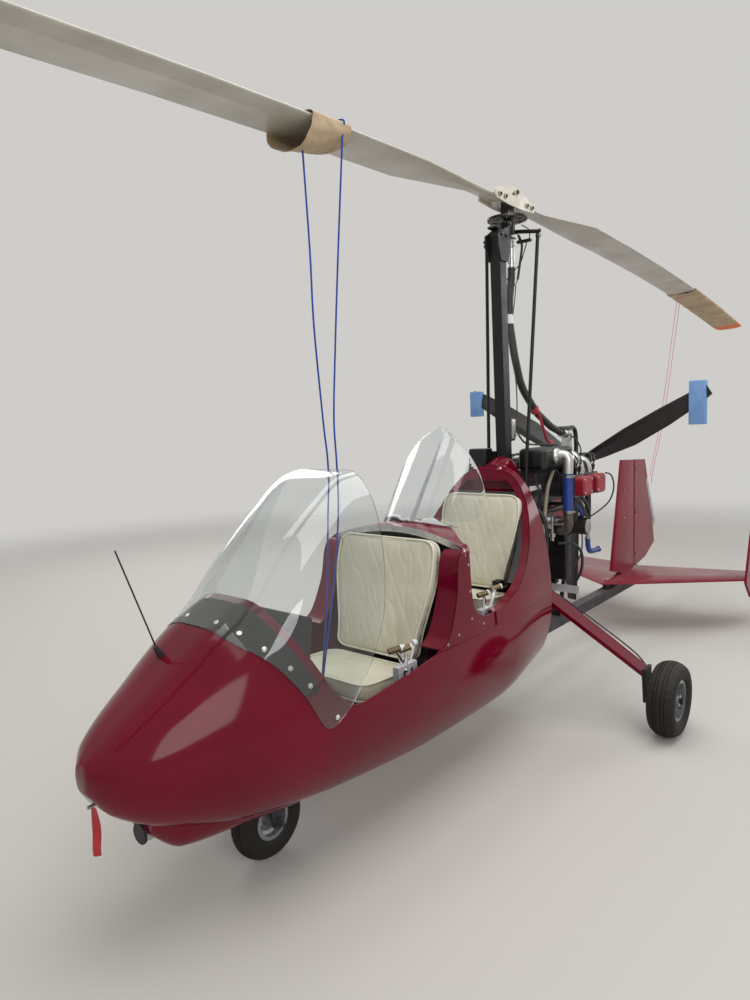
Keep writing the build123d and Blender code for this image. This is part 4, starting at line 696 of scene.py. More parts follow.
class Builder:
    """Gathers small solids into one mesh."""

    def __init__(self) -> None:
        """Start with an empty mesh."""
        self.bm = bmesh.new()

    def block(self, low: Point, high: Point, bevel: float = 0.0) -> None:
        """Add a block between two corners, in millimetres.

        Args:
            low: Lowest corner.
            high: Highest corner.
            bevel: Width of its rounded edges.
        """
        middle = Vector([(a + b) / 2 * MM for a, b in zip(low, high)])
        size = [abs(b - a) * MM for a, b in zip(low, high)]
        place = Matrix.Translation(middle) @ Matrix.Diagonal((*size, 1.0))
        made = bmesh.ops.create_cube(self.bm, size=1.0, matrix=place)
        if bevel:
            edges = dict.fromkeys(edge for vert in made["verts"] for edge in vert.link_edges)
            bmesh.ops.bevel(
                self.bm, geom=list(edges), offset=bevel * MM, segments=3, affect="EDGES", profile=0.5
            )

    def lathe(self, start: Point, axis: Point, profile: Outline, steps: int) -> None:
        """Turn a profile about an axis.

        Args:
            start: The foot of the axis, in millimetres.
            axis: Its direction.
            profile: Points (distance along the axis, radius); it starts and ends near the axis.
            steps: Points round the circle.
        """
        way = Vector(axis).normalized()
        side = way.orthogonal().normalized()
        up = way.cross(side)
        foot = Vector(start)
        rings = []
        for along, radius in profile:
            out = max(radius, ON_AXIS)
            rings.append([
                self.bm.verts.new((foot + way * along + (side * math.cos(a) + up * math.sin(a)) * out) * MM)
                for a in (2 * math.pi * k / steps for k in range(steps))
            ])
        close_rings(self.bm, rings)

    def turn(self, start: Point, axis: Point, profile: Outline, steps: int) -> None:
        """Turn a profile whose two ends are closed by flat faces."""
        self.lathe(start, axis, ((profile[0][0], 0), *profile, (profile[-1][0], 0)), steps)

    def band(self, start: Point, axis: Point, inner: float, outer: float, high: float, steps: int) -> None:
        """Add a clamp's band round an axis."""
        self.lathe(start, axis, ((0, inner), (0, outer), (high, outer), (high, inner)), steps)

    def tube(self, points: Sequence[Point], radius: float, sides: int, flat: float = 1.0) -> None:
        """Add a tube along points in millimetres.

        Args:
            points: The line it follows.
            radius: Its radius.
            sides: Points round it.
            flat: Its second radius as a share of the first.
        """
        line = [Vector(p) for p in points]
        ways = []
        for k in range(len(line)):
            ways.append((line[min(k + 1, len(line) - 1)] - line[max(k - 1, 0)]).normalized())
        side = ways[0].orthogonal().normalized()
        rings = []
        for p, way in zip(line, ways):
            side = (side - way * side.dot(way)).normalized()
            up = way.cross(side)
            rings.append([
                self.bm.verts.new(
                    (p + side * (math.cos(a) * radius) + up * (math.sin(a) * radius * flat)) * MM
                )
                for a in (2 * math.pi * k / sides for k in range(sides))
            ])
        close_rings(self.bm, rings)

    def run(self, points: Sequence[Point], radius: float, sides: int, steps: int, flat: float = 1.0) -> None:
        """Add a tube along the smooth line through points, with steps on each stretch."""
        self.tube(curve_through(points, steps), radius, sides, flat)

    def bolt(self, place: Point, axis: Point, across: float, high: float, washer: bool = True) -> None:
        """Add a hexagon head on its washer.

        Args:
            place: Its seat, in millimetres.
            axis: The way it stands out.
            across: Width over the corners.
            high: Height of the head.
            washer: Whether a washer lies under it.
        """
        way = Vector(axis).normalized()
        foot = Vector(place)
        if washer:
            self.turn(foot, way, ((0, across * 0.75), (1.5, across * 0.75)), 20)
        base = foot + way * (1.5 if washer else 0.0)
        r = across / 2
        self.turn(base, way, ((0, r), (high * 0.8, r), (high, r * 0.8)), 6)

    def screw(self, place: Point, axis: Point, radius: float) -> None:
        """Add a pan-head screw on a cup washer."""
        cup = ((-1, 0), (-1, radius * 1.7), (0.8, radius * 1.6))
        self.lathe(place, axis, (*cup, (1.2, radius), (3.0, radius * 0.8), (3.6, 0)), 16)

    def solid(self, name: str) -> Piece:
        """Turn what was gathered into an object."""
        return object_from(name, self.bm)

    def finish(
        self, name: str, finish: Finish, *stands_for: str, body: str = AIRFRAME, angle: float = SHARP_ANGLE
    ) -> Piece:
        """Turn what was gathered into an object and dress it."""
        return dress(self.solid(name), finish, *stands_for, body=body, angle=angle)


def curve_through(points: Sequence[Point], steps: int) -> list[Vector]:
    """Run a smooth line through points.

    Args:
        points: Points that it passes.
        steps: New points on each stretch.

    Returns:
        The points of the line.
    """
    fixed = [Vector(p) for p in points]
    padded = [2 * fixed[0] - fixed[1]] + fixed + [2 * fixed[-1] - fixed[-2]]
    line = []
    for a, b, c, d in zip(padded, padded[1:], padded[2:], padded[3:]):
        for k in range(steps):
            t = k / steps
            straight = 2 * b + (c - a) * t + (2 * a - 5 * b + 4 * c - d) * t**2
            line.append(0.5 * (straight + (3 * b - a - 3 * c + d) * t**3))
    return line + [fixed[-1]]


def soften(outline: Outline, radius: float) -> list[tuple[float, float]]:
    """Round the corners of a closed outline.

    Args:
        outline: Corner points.
        radius: How far from a corner the round starts, at most.

    Returns:
        More points, with a small arc at each corner.
    """
    made = []
    for k, corner in enumerate(outline):
        before, here, after = Vector(outline[k - 1]), Vector(corner), Vector(outline[(k + 1) % len(outline)])
        back = min(radius, (before - here).length * 0.42)
        ahead = min(radius, (after - here).length * 0.42)
        a = here + (before - here).normalized() * back
        b = here + (after - here).normalized() * ahead
        for step in range(7):
            t = step / 6
            made.append(tuple((1 - t) ** 2 * a + 2 * t * (1 - t) * here + t * t * b))
    return made


def grown(outline: Outline, by: float) -> list[tuple[float, float]]:
    """Move every side of a closed outline outwards.

    Args:
        outline: Points in order.
        by: The distance.

    Returns:
        As many points.
    """
    count = len(outline)
    turn = sum(a[0] * b[1] - b[0] * a[1] for a, b in zip(outline, list(outline[1:]) + [outline[0]]))
    side = 1 if turn > 0 else -1
    made = []
    for k in range(count):
        before, here, after = Vector(outline[k - 1]), Vector(outline[k]), Vector(outline[(k + 1) % count])
        one, two = (here - before).normalized(), (after - here).normalized()
        out = (Vector((one.y + two.y, -one.x - two.x)) * side).normalized()
        share = out.dot(Vector((one.y, -one.x)) * side)
        made.append(tuple(here + out * (by / max(share, 0.6))))
    return made


def flank(rows: Rows, y: float, z: float) -> float:
    """Find the skin's x at a place seen from the side.

    Args:
        rows: The section table.
        y: Place along the pod, in millimetres.
        z: Height.

    Returns:
        The half width there.
    """
    _, half, floor_half, deck_half, floor, widest, deck = row_at(rows, y)
    z = min(max(z, floor), deck)
    if z > widest:
        return deck_half + (half - deck_half) * math.sqrt(1 - ((z - widest) / (deck - widest)) ** 2)
    return floor_half + (half - floor_half) * math.sqrt(1 - ((widest - z) / (widest - floor)) ** 2)


def skin_normal(y: float, z: float, side: int) -> Vector:
    """Find which way the pod's skin faces at a place on its flank.

    Args:
        y: Place along the pod, in millimetres.
        z: Height.
        side: 1 for port and -1 for starboard.

    Returns:
        The unit normal.
    """
    across = (flank(POD_ROWS, y + 2, z) - flank(POD_ROWS, y - 2, z)) / 4
    upward = (flank(POD_ROWS, y, z + 2) - flank(POD_ROWS, y, z - 2)) / 4
    return Vector((side, -across, -upward)).normalized()


def box_body(low: Point, high: Point) -> Piece:
    """Make a plain block as a cutting tool.

    Args:
        low: Lowest corner, in millimetres.
        high: Highest corner.

    Returns:
        The block.
    """
    made = Builder()
    made.block(low, high)
    return made.solid("block_tool")


@dataclass
class Studio:
    """Camera, lamps and floor."""

    camera: tuple[float, float, float] = (1.781, -3.250, 1.484)
    heading: float = 39.88
    pitch: float = 6.289
    roll: float = 2.007
    lens: float = 24.98
    floor_colour: str = "#cdc9c2"
    fade: tuple[float, float] = (4.5, 10.0)

    def build(self) -> None:
        """Set up the whole studio."""
        self.set_camera()
        self.set_lamps()
        self.set_surround()
        self.lay_floor()

    def set_camera(self) -> None:
        """Place the camera at the photograph's viewpoint."""
        heading, pitch, roll = (math.radians(v) for v in (self.heading, self.pitch, self.roll))
        flat = math.cos(pitch)
        ahead = Vector((-math.sin(heading) * flat, math.cos(heading) * flat, -math.sin(pitch)))
        level = Vector((math.cos(heading), math.sin(heading), 0.0))
        down = ahead.cross(level)
        right = level * math.cos(roll) + down * math.sin(roll)
        below = -level * math.sin(roll) + down * math.cos(roll)
        data = bpy.data.cameras.new("camera")
        data.sensor_width, data.lens = 36.0, self.lens
        data.clip_start, data.clip_end = 0.05, 100.0
        camera = bpy.data.objects.new("camera", data)
        turn = Matrix((right, -below, -ahead)).transposed().to_4x4()
        camera.matrix_world = Matrix.Translation(self.camera) @ turn
        bpy.context.scene.collection.objects.link(camera)
        bpy.context.scene.camera = camera

    def set_lamps(self) -> None:
        """Hang soft lamps round the aircraft."""
        for name, place, target, size, power in (
            ("overhead", (0.5, -0.5, 5.2), (0.0, -0.5, 0.0), 5.0, 175.0),
            ("camera_side", (5.5, -4.5, 3.6), (0.0, -0.8, 0.9), 3.5, 150.0),
            ("far_side", (-5.5, 1.5, 3.8), (0.0, 0.0, 0.8), 3.5, 90.0),
            ("tail_side", (3.5, 6.0, 3.6), (0.0, 1.5, 0.8), 3.0, 80.0),
        ):
            data = bpy.data.lights.new(name, "AREA")
            data.energy, data.size, data.shape = power, size, "SQUARE"
            lamp = bpy.data.objects.new(name, data)
            lamp.location = place
            lamp.rotation_mode = "QUATERNION"
            lamp.rotation_quaternion = (Vector(target) - Vector(place)).to_track_quat("-Z", "Y")
            bpy.context.scene.collection.objects.link(lamp)

    def set_surround(self) -> None:
        """Light all from a pale surround that shows paler where it is seen."""
        world = bpy.data.worlds.new("surround")
        bpy.context.scene.world = world
        world.use_nodes = True
        tree = world.node_tree
        tree.nodes.clear()
        rays = add_node(tree, "ShaderNodeLightPath")
        seen = rays.outputs["Is Camera Ray"]
        for kind in ("Is Glossy Ray", "Is Transmission Ray"):
            either = {0: seen, 1: rays.outputs[kind]}
            seen = add_node(tree, "ShaderNodeMath", either, operation="MAXIMUM").outputs[0]
        dim = add_node(tree, "ShaderNodeBackground", {"Color": linear("#f2f3f5"), "Strength": 0.42})
        pale = add_node(tree, "ShaderNodeBackground", {"Color": linear("#e4e2de"), "Strength": 0.80})
        mixed = add_node(tree, "ShaderNodeMixShader", {0: seen, 1: dim.outputs[0], 2: pale.outputs[0]})
        add_node(tree, "ShaderNodeOutputWorld", {"Surface": mixed.outputs[0]})
        bpy.context.scene.view_settings.view_transform = "Standard"

    def lay_floor(self) -> None:
        """Lay a plain pale floor that fades out far from the aircraft."""
        bm = bmesh.new()
        bmesh.ops.create_circle(bm, cap_ends=True, segments=96, radius=self.fade[1] * 1.05)
        floor = object_from("floor", bm, outward=False)
        floor.location.z = -0.0005
        material = bpy.data.materials.new("plain_floor")
        material.use_nodes = True
        tree = material.node_tree
        tree.nodes.clear()
        place = add_node(tree, "ShaderNodeTexCoord").outputs["Object"]
        far = add_node(tree, "ShaderNodeVectorMath", {0: place}, operation="LENGTH").outputs["Value"]
        fade = add_node(
            tree, "ShaderNodeMapRange",
            {"Value": far, "From Min": self.fade[0], "From Max": self.fade[1]},
            interpolation_type="SMOOTHSTEP",
        ).outputs[0]
        matt = add_node(
            tree, "ShaderNodeBsdfPrincipled", {"Base Color": linear(self.floor_colour), "Roughness": 0.85}
        ).outputs[0]
        clear = add_node(tree, "ShaderNodeBsdfTransparent").outputs[0]
        mixed = add_node(tree, "ShaderNodeMixShader", {0: fade, 1: matt, 2: clear}).outputs[0]
        add_node(tree, "ShaderNodeOutputMaterial", {"Surface": mixed})
        floor.data.materials.append(material)


@dataclass
class Pod:
    """The moulded pod with its headrest cowl, chin and the seal under the front screen."""

    wall: float = 6.0
    seam: float = 0.8
    return_depth: float = 45.0
    well_half: float = 142.3
    well_ends: tuple[float, float] = (-1960.3, -1574.7)
    well_top: float = 345.3
    keel_half: float = 33.3
    keel_slot: float = -460.0
    keel_top: float = 312.3

    def build(self) -> None:
        """Build the shells, the turned-in edge and the stud."""
        self.shells()
        self.chin()
        self.returns()
        self.button()

    def well_tool(self) -> Builder:
        """Start a cutting tool with the nose wheel's well.

        Returns:
            A builder that holds the well's block.
        """
        tools = Builder()
        low = (-self.well_half, self.well_ends[0], 0)
        tools.block(low, (self.well_half, self.well_ends[1], self.well_top))
        return tools

    def shells(self) -> None:
        """Cut the pod and split it where its panels meet."""
        shell = hull_body("pod_skin", POD_ROWS)
        carve(shell, hull_body("pod_core", POD_ROWS, self.wall))
        tools = self.well_tool()
        tools.block((-self.keel_half, self.keel_slot, 0), (self.keel_half, 0, self.keel_top))
        carve(shell, tools.solid("slots"))
        for outline in (FRONT_CUT, REAR_CUT):
            carve(shell, prism("opening", soften(outline, CUT_ROUND)))
        headrest = copy_of(shell, "headrest_skin")
        carve(headrest, box_body((-WIDE, COWL_SPLIT + self.seam, COWL_BASE), (WIDE, 0, 1600)), "INTERSECT")
        dress(headrest, GELCOAT, "headrest_cowl")
        carve(shell, box_body((-WIDE, COWL_FRONT - self.seam, COWL_BASE - self.seam), (WIDE, 10, 1600)))
        seal = copy_of(shell, "screen_seal")
        carve(seal, prism("seal_gate", soften(SEAL_EDGE, 50.0)), "INTERSECT")
        dress(seal, SEAL_BLACK, "pod_shell")
        carve(shell, prism("seal_gate", soften(SEAL_EDGE, 50.0)))
        dress(shell, GELCOAT, "pod_shell")

    def chin(self) -> None:
        """Build the fairing round the nose wheel."""
        chin = hull_body("chin_skin", CHIN_ROWS)
        carve(chin, hull_body("chin_core", CHIN_ROWS, 5.0))
        carve(chin, hull_body("pod_body", POD_ROWS, -0.3))
        tools = self.well_tool()
        tools.turn((0, -2300, 316), (0, 1, 0), ((0, 30.3), (200, 30.3)), 40)
        carve(chin, tools.solid("chin_tools"))
        dress(chin, GELCOAT, "chin_fairing")

    def returns(self) -> None:
        """Turn the headrest cowl's edge inwards, and edge the return with black webbing."""
        outline = soften(REAR_CUT, CUT_ROUND)
        for name, near, deep, thick, finish, low, top, stands_for in (
            ("headrest_return", 1.5, self.return_depth, 5.0, GELCOAT, COWL_BASE, 1600, ("headrest_cowl",)),
            ("opening_webbing", self.return_depth, self.return_depth + 26, 7.0, WEBBING, 760, 1130, ()),
        ):
            piece = prism(name, grown(outline, thick))
            carve(piece, prism("inner", outline))
            carve(piece, hull_body("outer", POD_ROWS, near), "INTERSECT")
            carve(piece, hull_body("core", POD_ROWS, deep))
            carve(piece, box_body((-WIDE, COWL_SPLIT + self.seam, low), (WIDE, 0, top)), "INTERSECT")
            dress(piece, finish, *stands_for)

    def button(self) -> None:
        """Set the small light stud in the headrest arch."""
        stud = Builder()
        x, y, z = 62.0, -216.0, 1244.0
        stud.lathe((x, y, z - 3), (0.15, -0.35, 1.0), ((0, 0), (0, 6), (3, 6), (5, 4), (6, 0)), 20)
        stud.finish("headrest_stud", MARK_WHITE)


@dataclass
class MidCowl:
    """The boxy cowl between the seats, with its jambs, bulkhead and screws."""

    wall: float = 6.0
    low: float = 580.0
    corner: float = 34.0
    jamb_x: float = 264.0
    jamb_wall: float = 5.0
    stations: int = 24

    def build(self) -> None:
        """Build the cowl and what is screwed to it."""
        body = self.body("mid_cowl_skin", 0.0)
        carve(body, self.body("mid_cowl_core", self.wall))
        for outline in (FRONT_CUT, REAR_CUT):
            carve(body, prism("opening", soften(outline, CUT_ROUND)))
        zone = (-WIDE, COWL_FRONT, COWL_BASE), (WIDE, COWL_SPLIT, 1600)
        carve(body, box_body(*zone), "INTERSECT")
        dress(body, GELCOAT, "mid_cowl", angle=25.0)
        outline = soften(FRONT_CUT, CUT_ROUND)
        for side, name in ((1, "port_jamb"), (-1, "starboard_jamb")):
            jamb = prism(name, grown(outline, self.jamb_wall))
            carve(jamb, prism("inner", outline))
            carve(jamb, self.body("cowl_body", 1.5), "INTERSECT")
            ends = sorted((side * self.jamb_x, side * WIDE))
            carve(jamb, box_body((ends[0], -1200, COWL_BASE), (ends[1], -1003.3, 985)), "INTERSECT")
            dress(jamb, GELCOAT, "mid_cowl")
        wall = self.body("cowl_bulkhead", 7.0)
        carve(wall, box_body((-WIDE, -992, 600), (WIDE, -988, 1600)), "INTERSECT")
        dress(wall, RESIN_BLACK, angle=25.0)
        self.screws()

    def row(self, y: float) -> tuple[float, ...]:
        """Read the cowl's sections at any y.

        Args:
            y: Place along the cowl, in millimetres.

        Returns:
            Half width low, half width at the corner, corner height and crown height.
        """
        rows = COWL_ROWS
        y = min(max(y, rows[0][0]), rows[-1][0])
        k = max(i for i in range(len(rows) - 1) if rows[i][0] <= y)
        t = (y - rows[k][0]) / (rows[k + 1][0] - rows[k][0])
        return tuple(a + (b - a) * t for a, b in zip(rows[k][1:], rows[k + 1][1:]))

    def arch(self, y: float, x: float, inset: float = 0.0) -> float:
        """Find the height of the cowl's top at one place.

        Args:
            y: Place along the cowl, in millimetres.
            x: Place across it.
            inset: How far inside the skin.

        Returns:
            The height.
        """
        _, corner, corner_z, crown_z = self.row(y)
        flat, rise = corner - self.corner, crown_z - corner_z
        radius = (flat**2 + rise**2) / (2 * rise)
        return crown_z - inset - radius + math.sqrt(radius**2 - min(abs(x), flat) ** 2)

    def side_x(self, y: float, z: float) -> float:
        """Half width of the cowl at one height."""
        foot, corner, corner_z, _ = self.row(y)
        return foot + (corner - foot) * (z - self.low) / (corner_z - self.corner - self.low)

    def body(self, name: str, inset: float) -> Piece:
        """Make the cowl's body, or the same body a wall inside it.

        Args:
            name: The object's name.
            inset: The wall, in millimetres.

        Returns:
            The closed body.
        """
        rings = []
        past = 1 if inset else 0
        first, last = COWL_ROWS[0][0] - past, COWL_ROWS[-1][0] + past
        for k in range(self.stations + 1):
            y = first + (last - first) * k / self.stations
            foot, corner, corner_z, _ = self.row(y)
            turn = self.corner - inset
            flat, top = corner - self.corner, corner_z - inset
            half = [((foot - inset) * j / 6, self.low) for j in range(1, 7)]
            half += [
                ((foot + (corner - foot) * j / 12) - inset, self.low + (top - turn - self.low) * j / 12)
                for j in range(1, 12)
            ]
            half += [
                (flat + turn * math.cos(a), top - turn + turn * math.sin(a))
                for a in (math.pi / 2 * j / 8 for j in range(8))
            ]
            half += [(flat * (1 - j / 14), self.arch(y, flat * (1 - j / 14), inset)) for j in range(14)]
            middle_top = [(0.0, self.arch(y, 0.0, inset))]
            ring = [(0.0, self.low)] + half + middle_top + [(-x, z) for x, z in reversed(half)]
            rings.append([(x * MM, y * MM, z * MM) for x, z in ring])
        return closed_rings(name, rings)

    def screws(self) -> None:
        """Screw the trim along its arch and the cowl along its sides."""
        screws = Builder()
        for x in (-306, -220, -112, 0, 112, 220, 306):
            screws.screw((x, -1006.3, self.arch(-1005, x) - 13), (0, -1, 0), 3.0)
        for side in (1, -1):
            places = ((-988, 712), (-988, 820), (-988, 925), (-900, 672), (-1085, 672), (-1160, 655))
            for y, z in places:
                screws.screw((side * self.side_x(y, z), y, z), (side, 0, 0.03), 3.4)
        screws.finish("cowl_screws", ZINC)


@dataclass
class Screens:
    """The front windscreen with its screws, and the rear one with its stay."""

    wall: float = 3.0
    gap: float = 0.3

    def build(self) -> None:
        """Build both screens and what holds them."""
        self.front()
        self.rear()
        self.fasteners()

    def skin(self, name: str, grow: float) -> Piece:
        """Make the body under the front screen.

        Args:
            name: The object's name.
            grow: How far outside the pod's skin, in millimetres.

        Returns:
            The closed body.
        """
        first, last, count = CROWN_ROWS[0][0], CROWN_ROWS[-1][0], 60
        rings = []
        for k in range(count + 1):
            y = first + (last - first) * k / count
            _, half, floor_half, _, floor, widest, deck = row_at(POD_ROWS, y)
            _, crown_half, crown = row_at(CROWN_ROWS, y)
            row = (half + grow, floor_half, crown_half, floor - grow, widest, max(crown, deck) + grow)
            rings.append([(x * MM, (y - grow * 0.5) * MM, z * MM) for x, z in ring_points(row, 30)])
        return closed_rings(name, rings)

    def front(self) -> None:
        """Cut the front screen to its outline."""
        screen = self.skin("front_screen_sheet", self.gap + self.wall)
        carve(screen, self.skin("screen_core", self.gap))
        carve(screen, prism("screen_gate", soften(SCREEN_EDGE, 60.0)), "INTERSECT")
        dress(screen, CLEAR, "front_screen", angle=40.0)

    def rear(self) -> None:
        """Trim the rear screen's foot where it would hang behind the cowl."""
        screen = copy_of(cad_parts["rear_screen"], "rear_screen_sheet")
        carve(screen, box_body((-WIDE, -826, 900), (WIDE, 0, 1058)))
        dress(screen, CLEAR, "rear_screen", angle=40.0)

    def fasteners(self) -> None:
        """Screw the front screen to the pod, and bolt the rear screen's stay."""
        screws = Builder()
        for side in (1, -1):
            for x, y, z in (
                (73, -1981, 895), (157, -1964, 872), (224, -1928, 824), (276, -1876, 761),
                (308, -1828, 699), (339, -1747, 579),
            ):
                way = skin_normal(y, z, side)
                foot = Vector((side * flank(POD_ROWS, y, z), y, z)) + way * 3.6
                screws.screw(foot, way, 5.2)
        screws.finish("screen_screws", SCREW_BRIGHT)
        clips = Builder()
        clips.bolt((0, -600.5, 1441), (0, 0.81, -0.59), 11, 5)
        clips.block((-15, -908, 1060), (15, -880, 1066), 1.5)
        clips.screw((-9, -894, 1066), UP, 3.0)
        clips.screw((9, -894, 1066), UP, 3.0)
        clips.finish("stay_clips", ZINC)


@dataclass
class Pad:
    """One seat pad: a boxed vinyl cushion with piping."""

    name: str
    start: tuple[float, float]
    end: tuple[float, float]
    deep: float
    halves: tuple[tuple[float, float], ...]
    fill: float = 0.5
    corner: float = 58.0
    cap: float = 0.012
    voxel: float = 0.0085
    seam_reach: float = 0.014
    pressure: float = 4.0
    frames: int = 16

    def outline(self) -> list[tuple[float, float]]:
        """Draw the pad as seen square on.

        Returns:
            Points (across, along), in millimetres.
        """
        length = (Vector(self.end) - Vector(self.start)).length
        side = [(half, share * length) for half, share in self.halves]
        corners = side + [(-half, along) for half, along in reversed(side)]
        return soften(corners, self.corner)

    def place(self, across: float, along: float, depth: float) -> Vector:
        """Put a place of the pad in the frame.

        Args:
            across: Distance from the middle, in millimetres.
            along: Distance from the pad's start.
            depth: Distance inwards from its front face.

        Returns:
            The place, in metres.
        """
        way = (Vector(self.end) - Vector(self.start)).normalized()
        inward = Vector((way.y, -way.x))
        spot = Vector(self.start) + way * along + inward * depth
        return Vector((across, spot.x, spot.y)) * MM

    def rings(self) -> list[list[Vector]]:
        """Lay rings over the pad.

        Returns:
            Rings from the middle of the back face, round the rim, to the middle of the front.
        """
        outline = self.outline()
        middle = Vector((0.0, sum(p[1] for p in outline) / len(outline)))
        made = []
        for share, depth in (
            (0.10, self.deep - 2), (0.6, self.deep - 2), (0.93, self.deep - 2), (0.985, self.deep - 6),
            (1.0, self.deep - 12), (1.0, 12.0), (0.985, 5.0), (0.93, 1.0), (0.6, 0.0), (0.10, 0.0),
        ):
            made.append([self.place(*(middle + (Vector(p) - middle) * share), depth) for p in outline])
        return made

    def build(self, *stands_for: str) -> None:
        """Make the pad, blow it up, crease it and sew its piping.

        Args:
            *stands_for: Nodes that it replaces.
        """
        rings = self.rings()
        piece = closed_rings(self.name, rings)
        self.inflate(piece, [p for ring in rings[3:7] for p in ring])
        self.crease(piece)
        dress(piece, VINYL_CREAM, *stands_for, angle=60.0)
        outline = self.outline()
        piping = Builder()
        for depth in (4.0, self.deep - 4.0):
            line = [self.place(x * 0.995, y, depth) / MM for x, y in outline]
            piping.tube(line + line[:1], 4.4, 8)
        piping.finish(self.name + "_piping", VINYL_PALE)

    def inflate(self, piece: Piece, rim: list[Vector]) -> None:
        """Blow the pad up like stuffed cloth, held at its seams.

        Args:
            piece: The plain pad.
            rim: Points of its seams.
        """
        remesh = piece.modifiers.new("remesh", "REMESH")
        remesh.mode, remesh.voxel_size = "VOXEL", self.voxel
        settle(piece)
        mesh = piece.data
        tree = KDTree(len(rim))
        for k, p in enumerate(rim):
            tree.insert(p, k)
        tree.balance()
        seam = piece.vertex_groups.new(name="seam")
        for vertex in mesh.vertices:
            if tree.find(vertex.co)[2] < self.seam_reach:
                seam.add([vertex.index], 1.0, "REPLACE")
        rest = [v.co.copy() for v in mesh.vertices]
        cloth = piece.modifiers.new("cloth", "CLOTH")
        cloth.settings.use_pressure = True
        cloth.settings.uniform_pressure_force = self.pressure
        cloth.settings.effector_weights.gravity = 0.0
        cloth.settings.vertex_group_mass = "seam"
        cloth.point_cache.frame_start, cloth.point_cache.frame_end = 1, self.frames
        scene = bpy.context.scene
        for k in range(1, self.frames + 1):
            scene.frame_set(k)
        seen = piece.evaluated_get(bpy.context.evaluated_depsgraph_get())
        moved = [v.co.copy() for v in seen.data.vertices]
        piece.modifiers.clear()
        piece.vertex_groups.clear()
        scene.frame_set(1)
        for vertex, old, new in zip(mesh.vertices, rest, moved):
            step = new - old
            if step.length > self.cap:
                step *= self.cap / step.length
            vertex.co = old + step
        finer = piece.modifiers.new("finer", "SUBSURF")
        finer.levels = finer.render_levels = 1
        settle(piece)

    def crease(self, piece: Piece) -> None:
        """Press soft creases into the cover.

        Args:
            piece: The pad.
        """
        mesh = piece.data
        seed = sum(ord(letter) for letter in self.name) * 0.37
        normals = [v.normal.copy() for v in mesh.vertices]
        for vertex, normal in zip(mesh.vertices, normals):
            p = vertex.co
            broad = noise.noise(Vector((p.x * 6 + seed, p.y * 5, p.z * 5)))
            fold = noise.noise(Vector((p.x * 26 + p.z * 9 + seed, (p.y + p.z) * 6, seed)))
            depth = 0.0022 * broad - 0.0020 * max(0.0, 0.22 - abs(fold)) / 0.22
            vertex.co = p + normal * depth


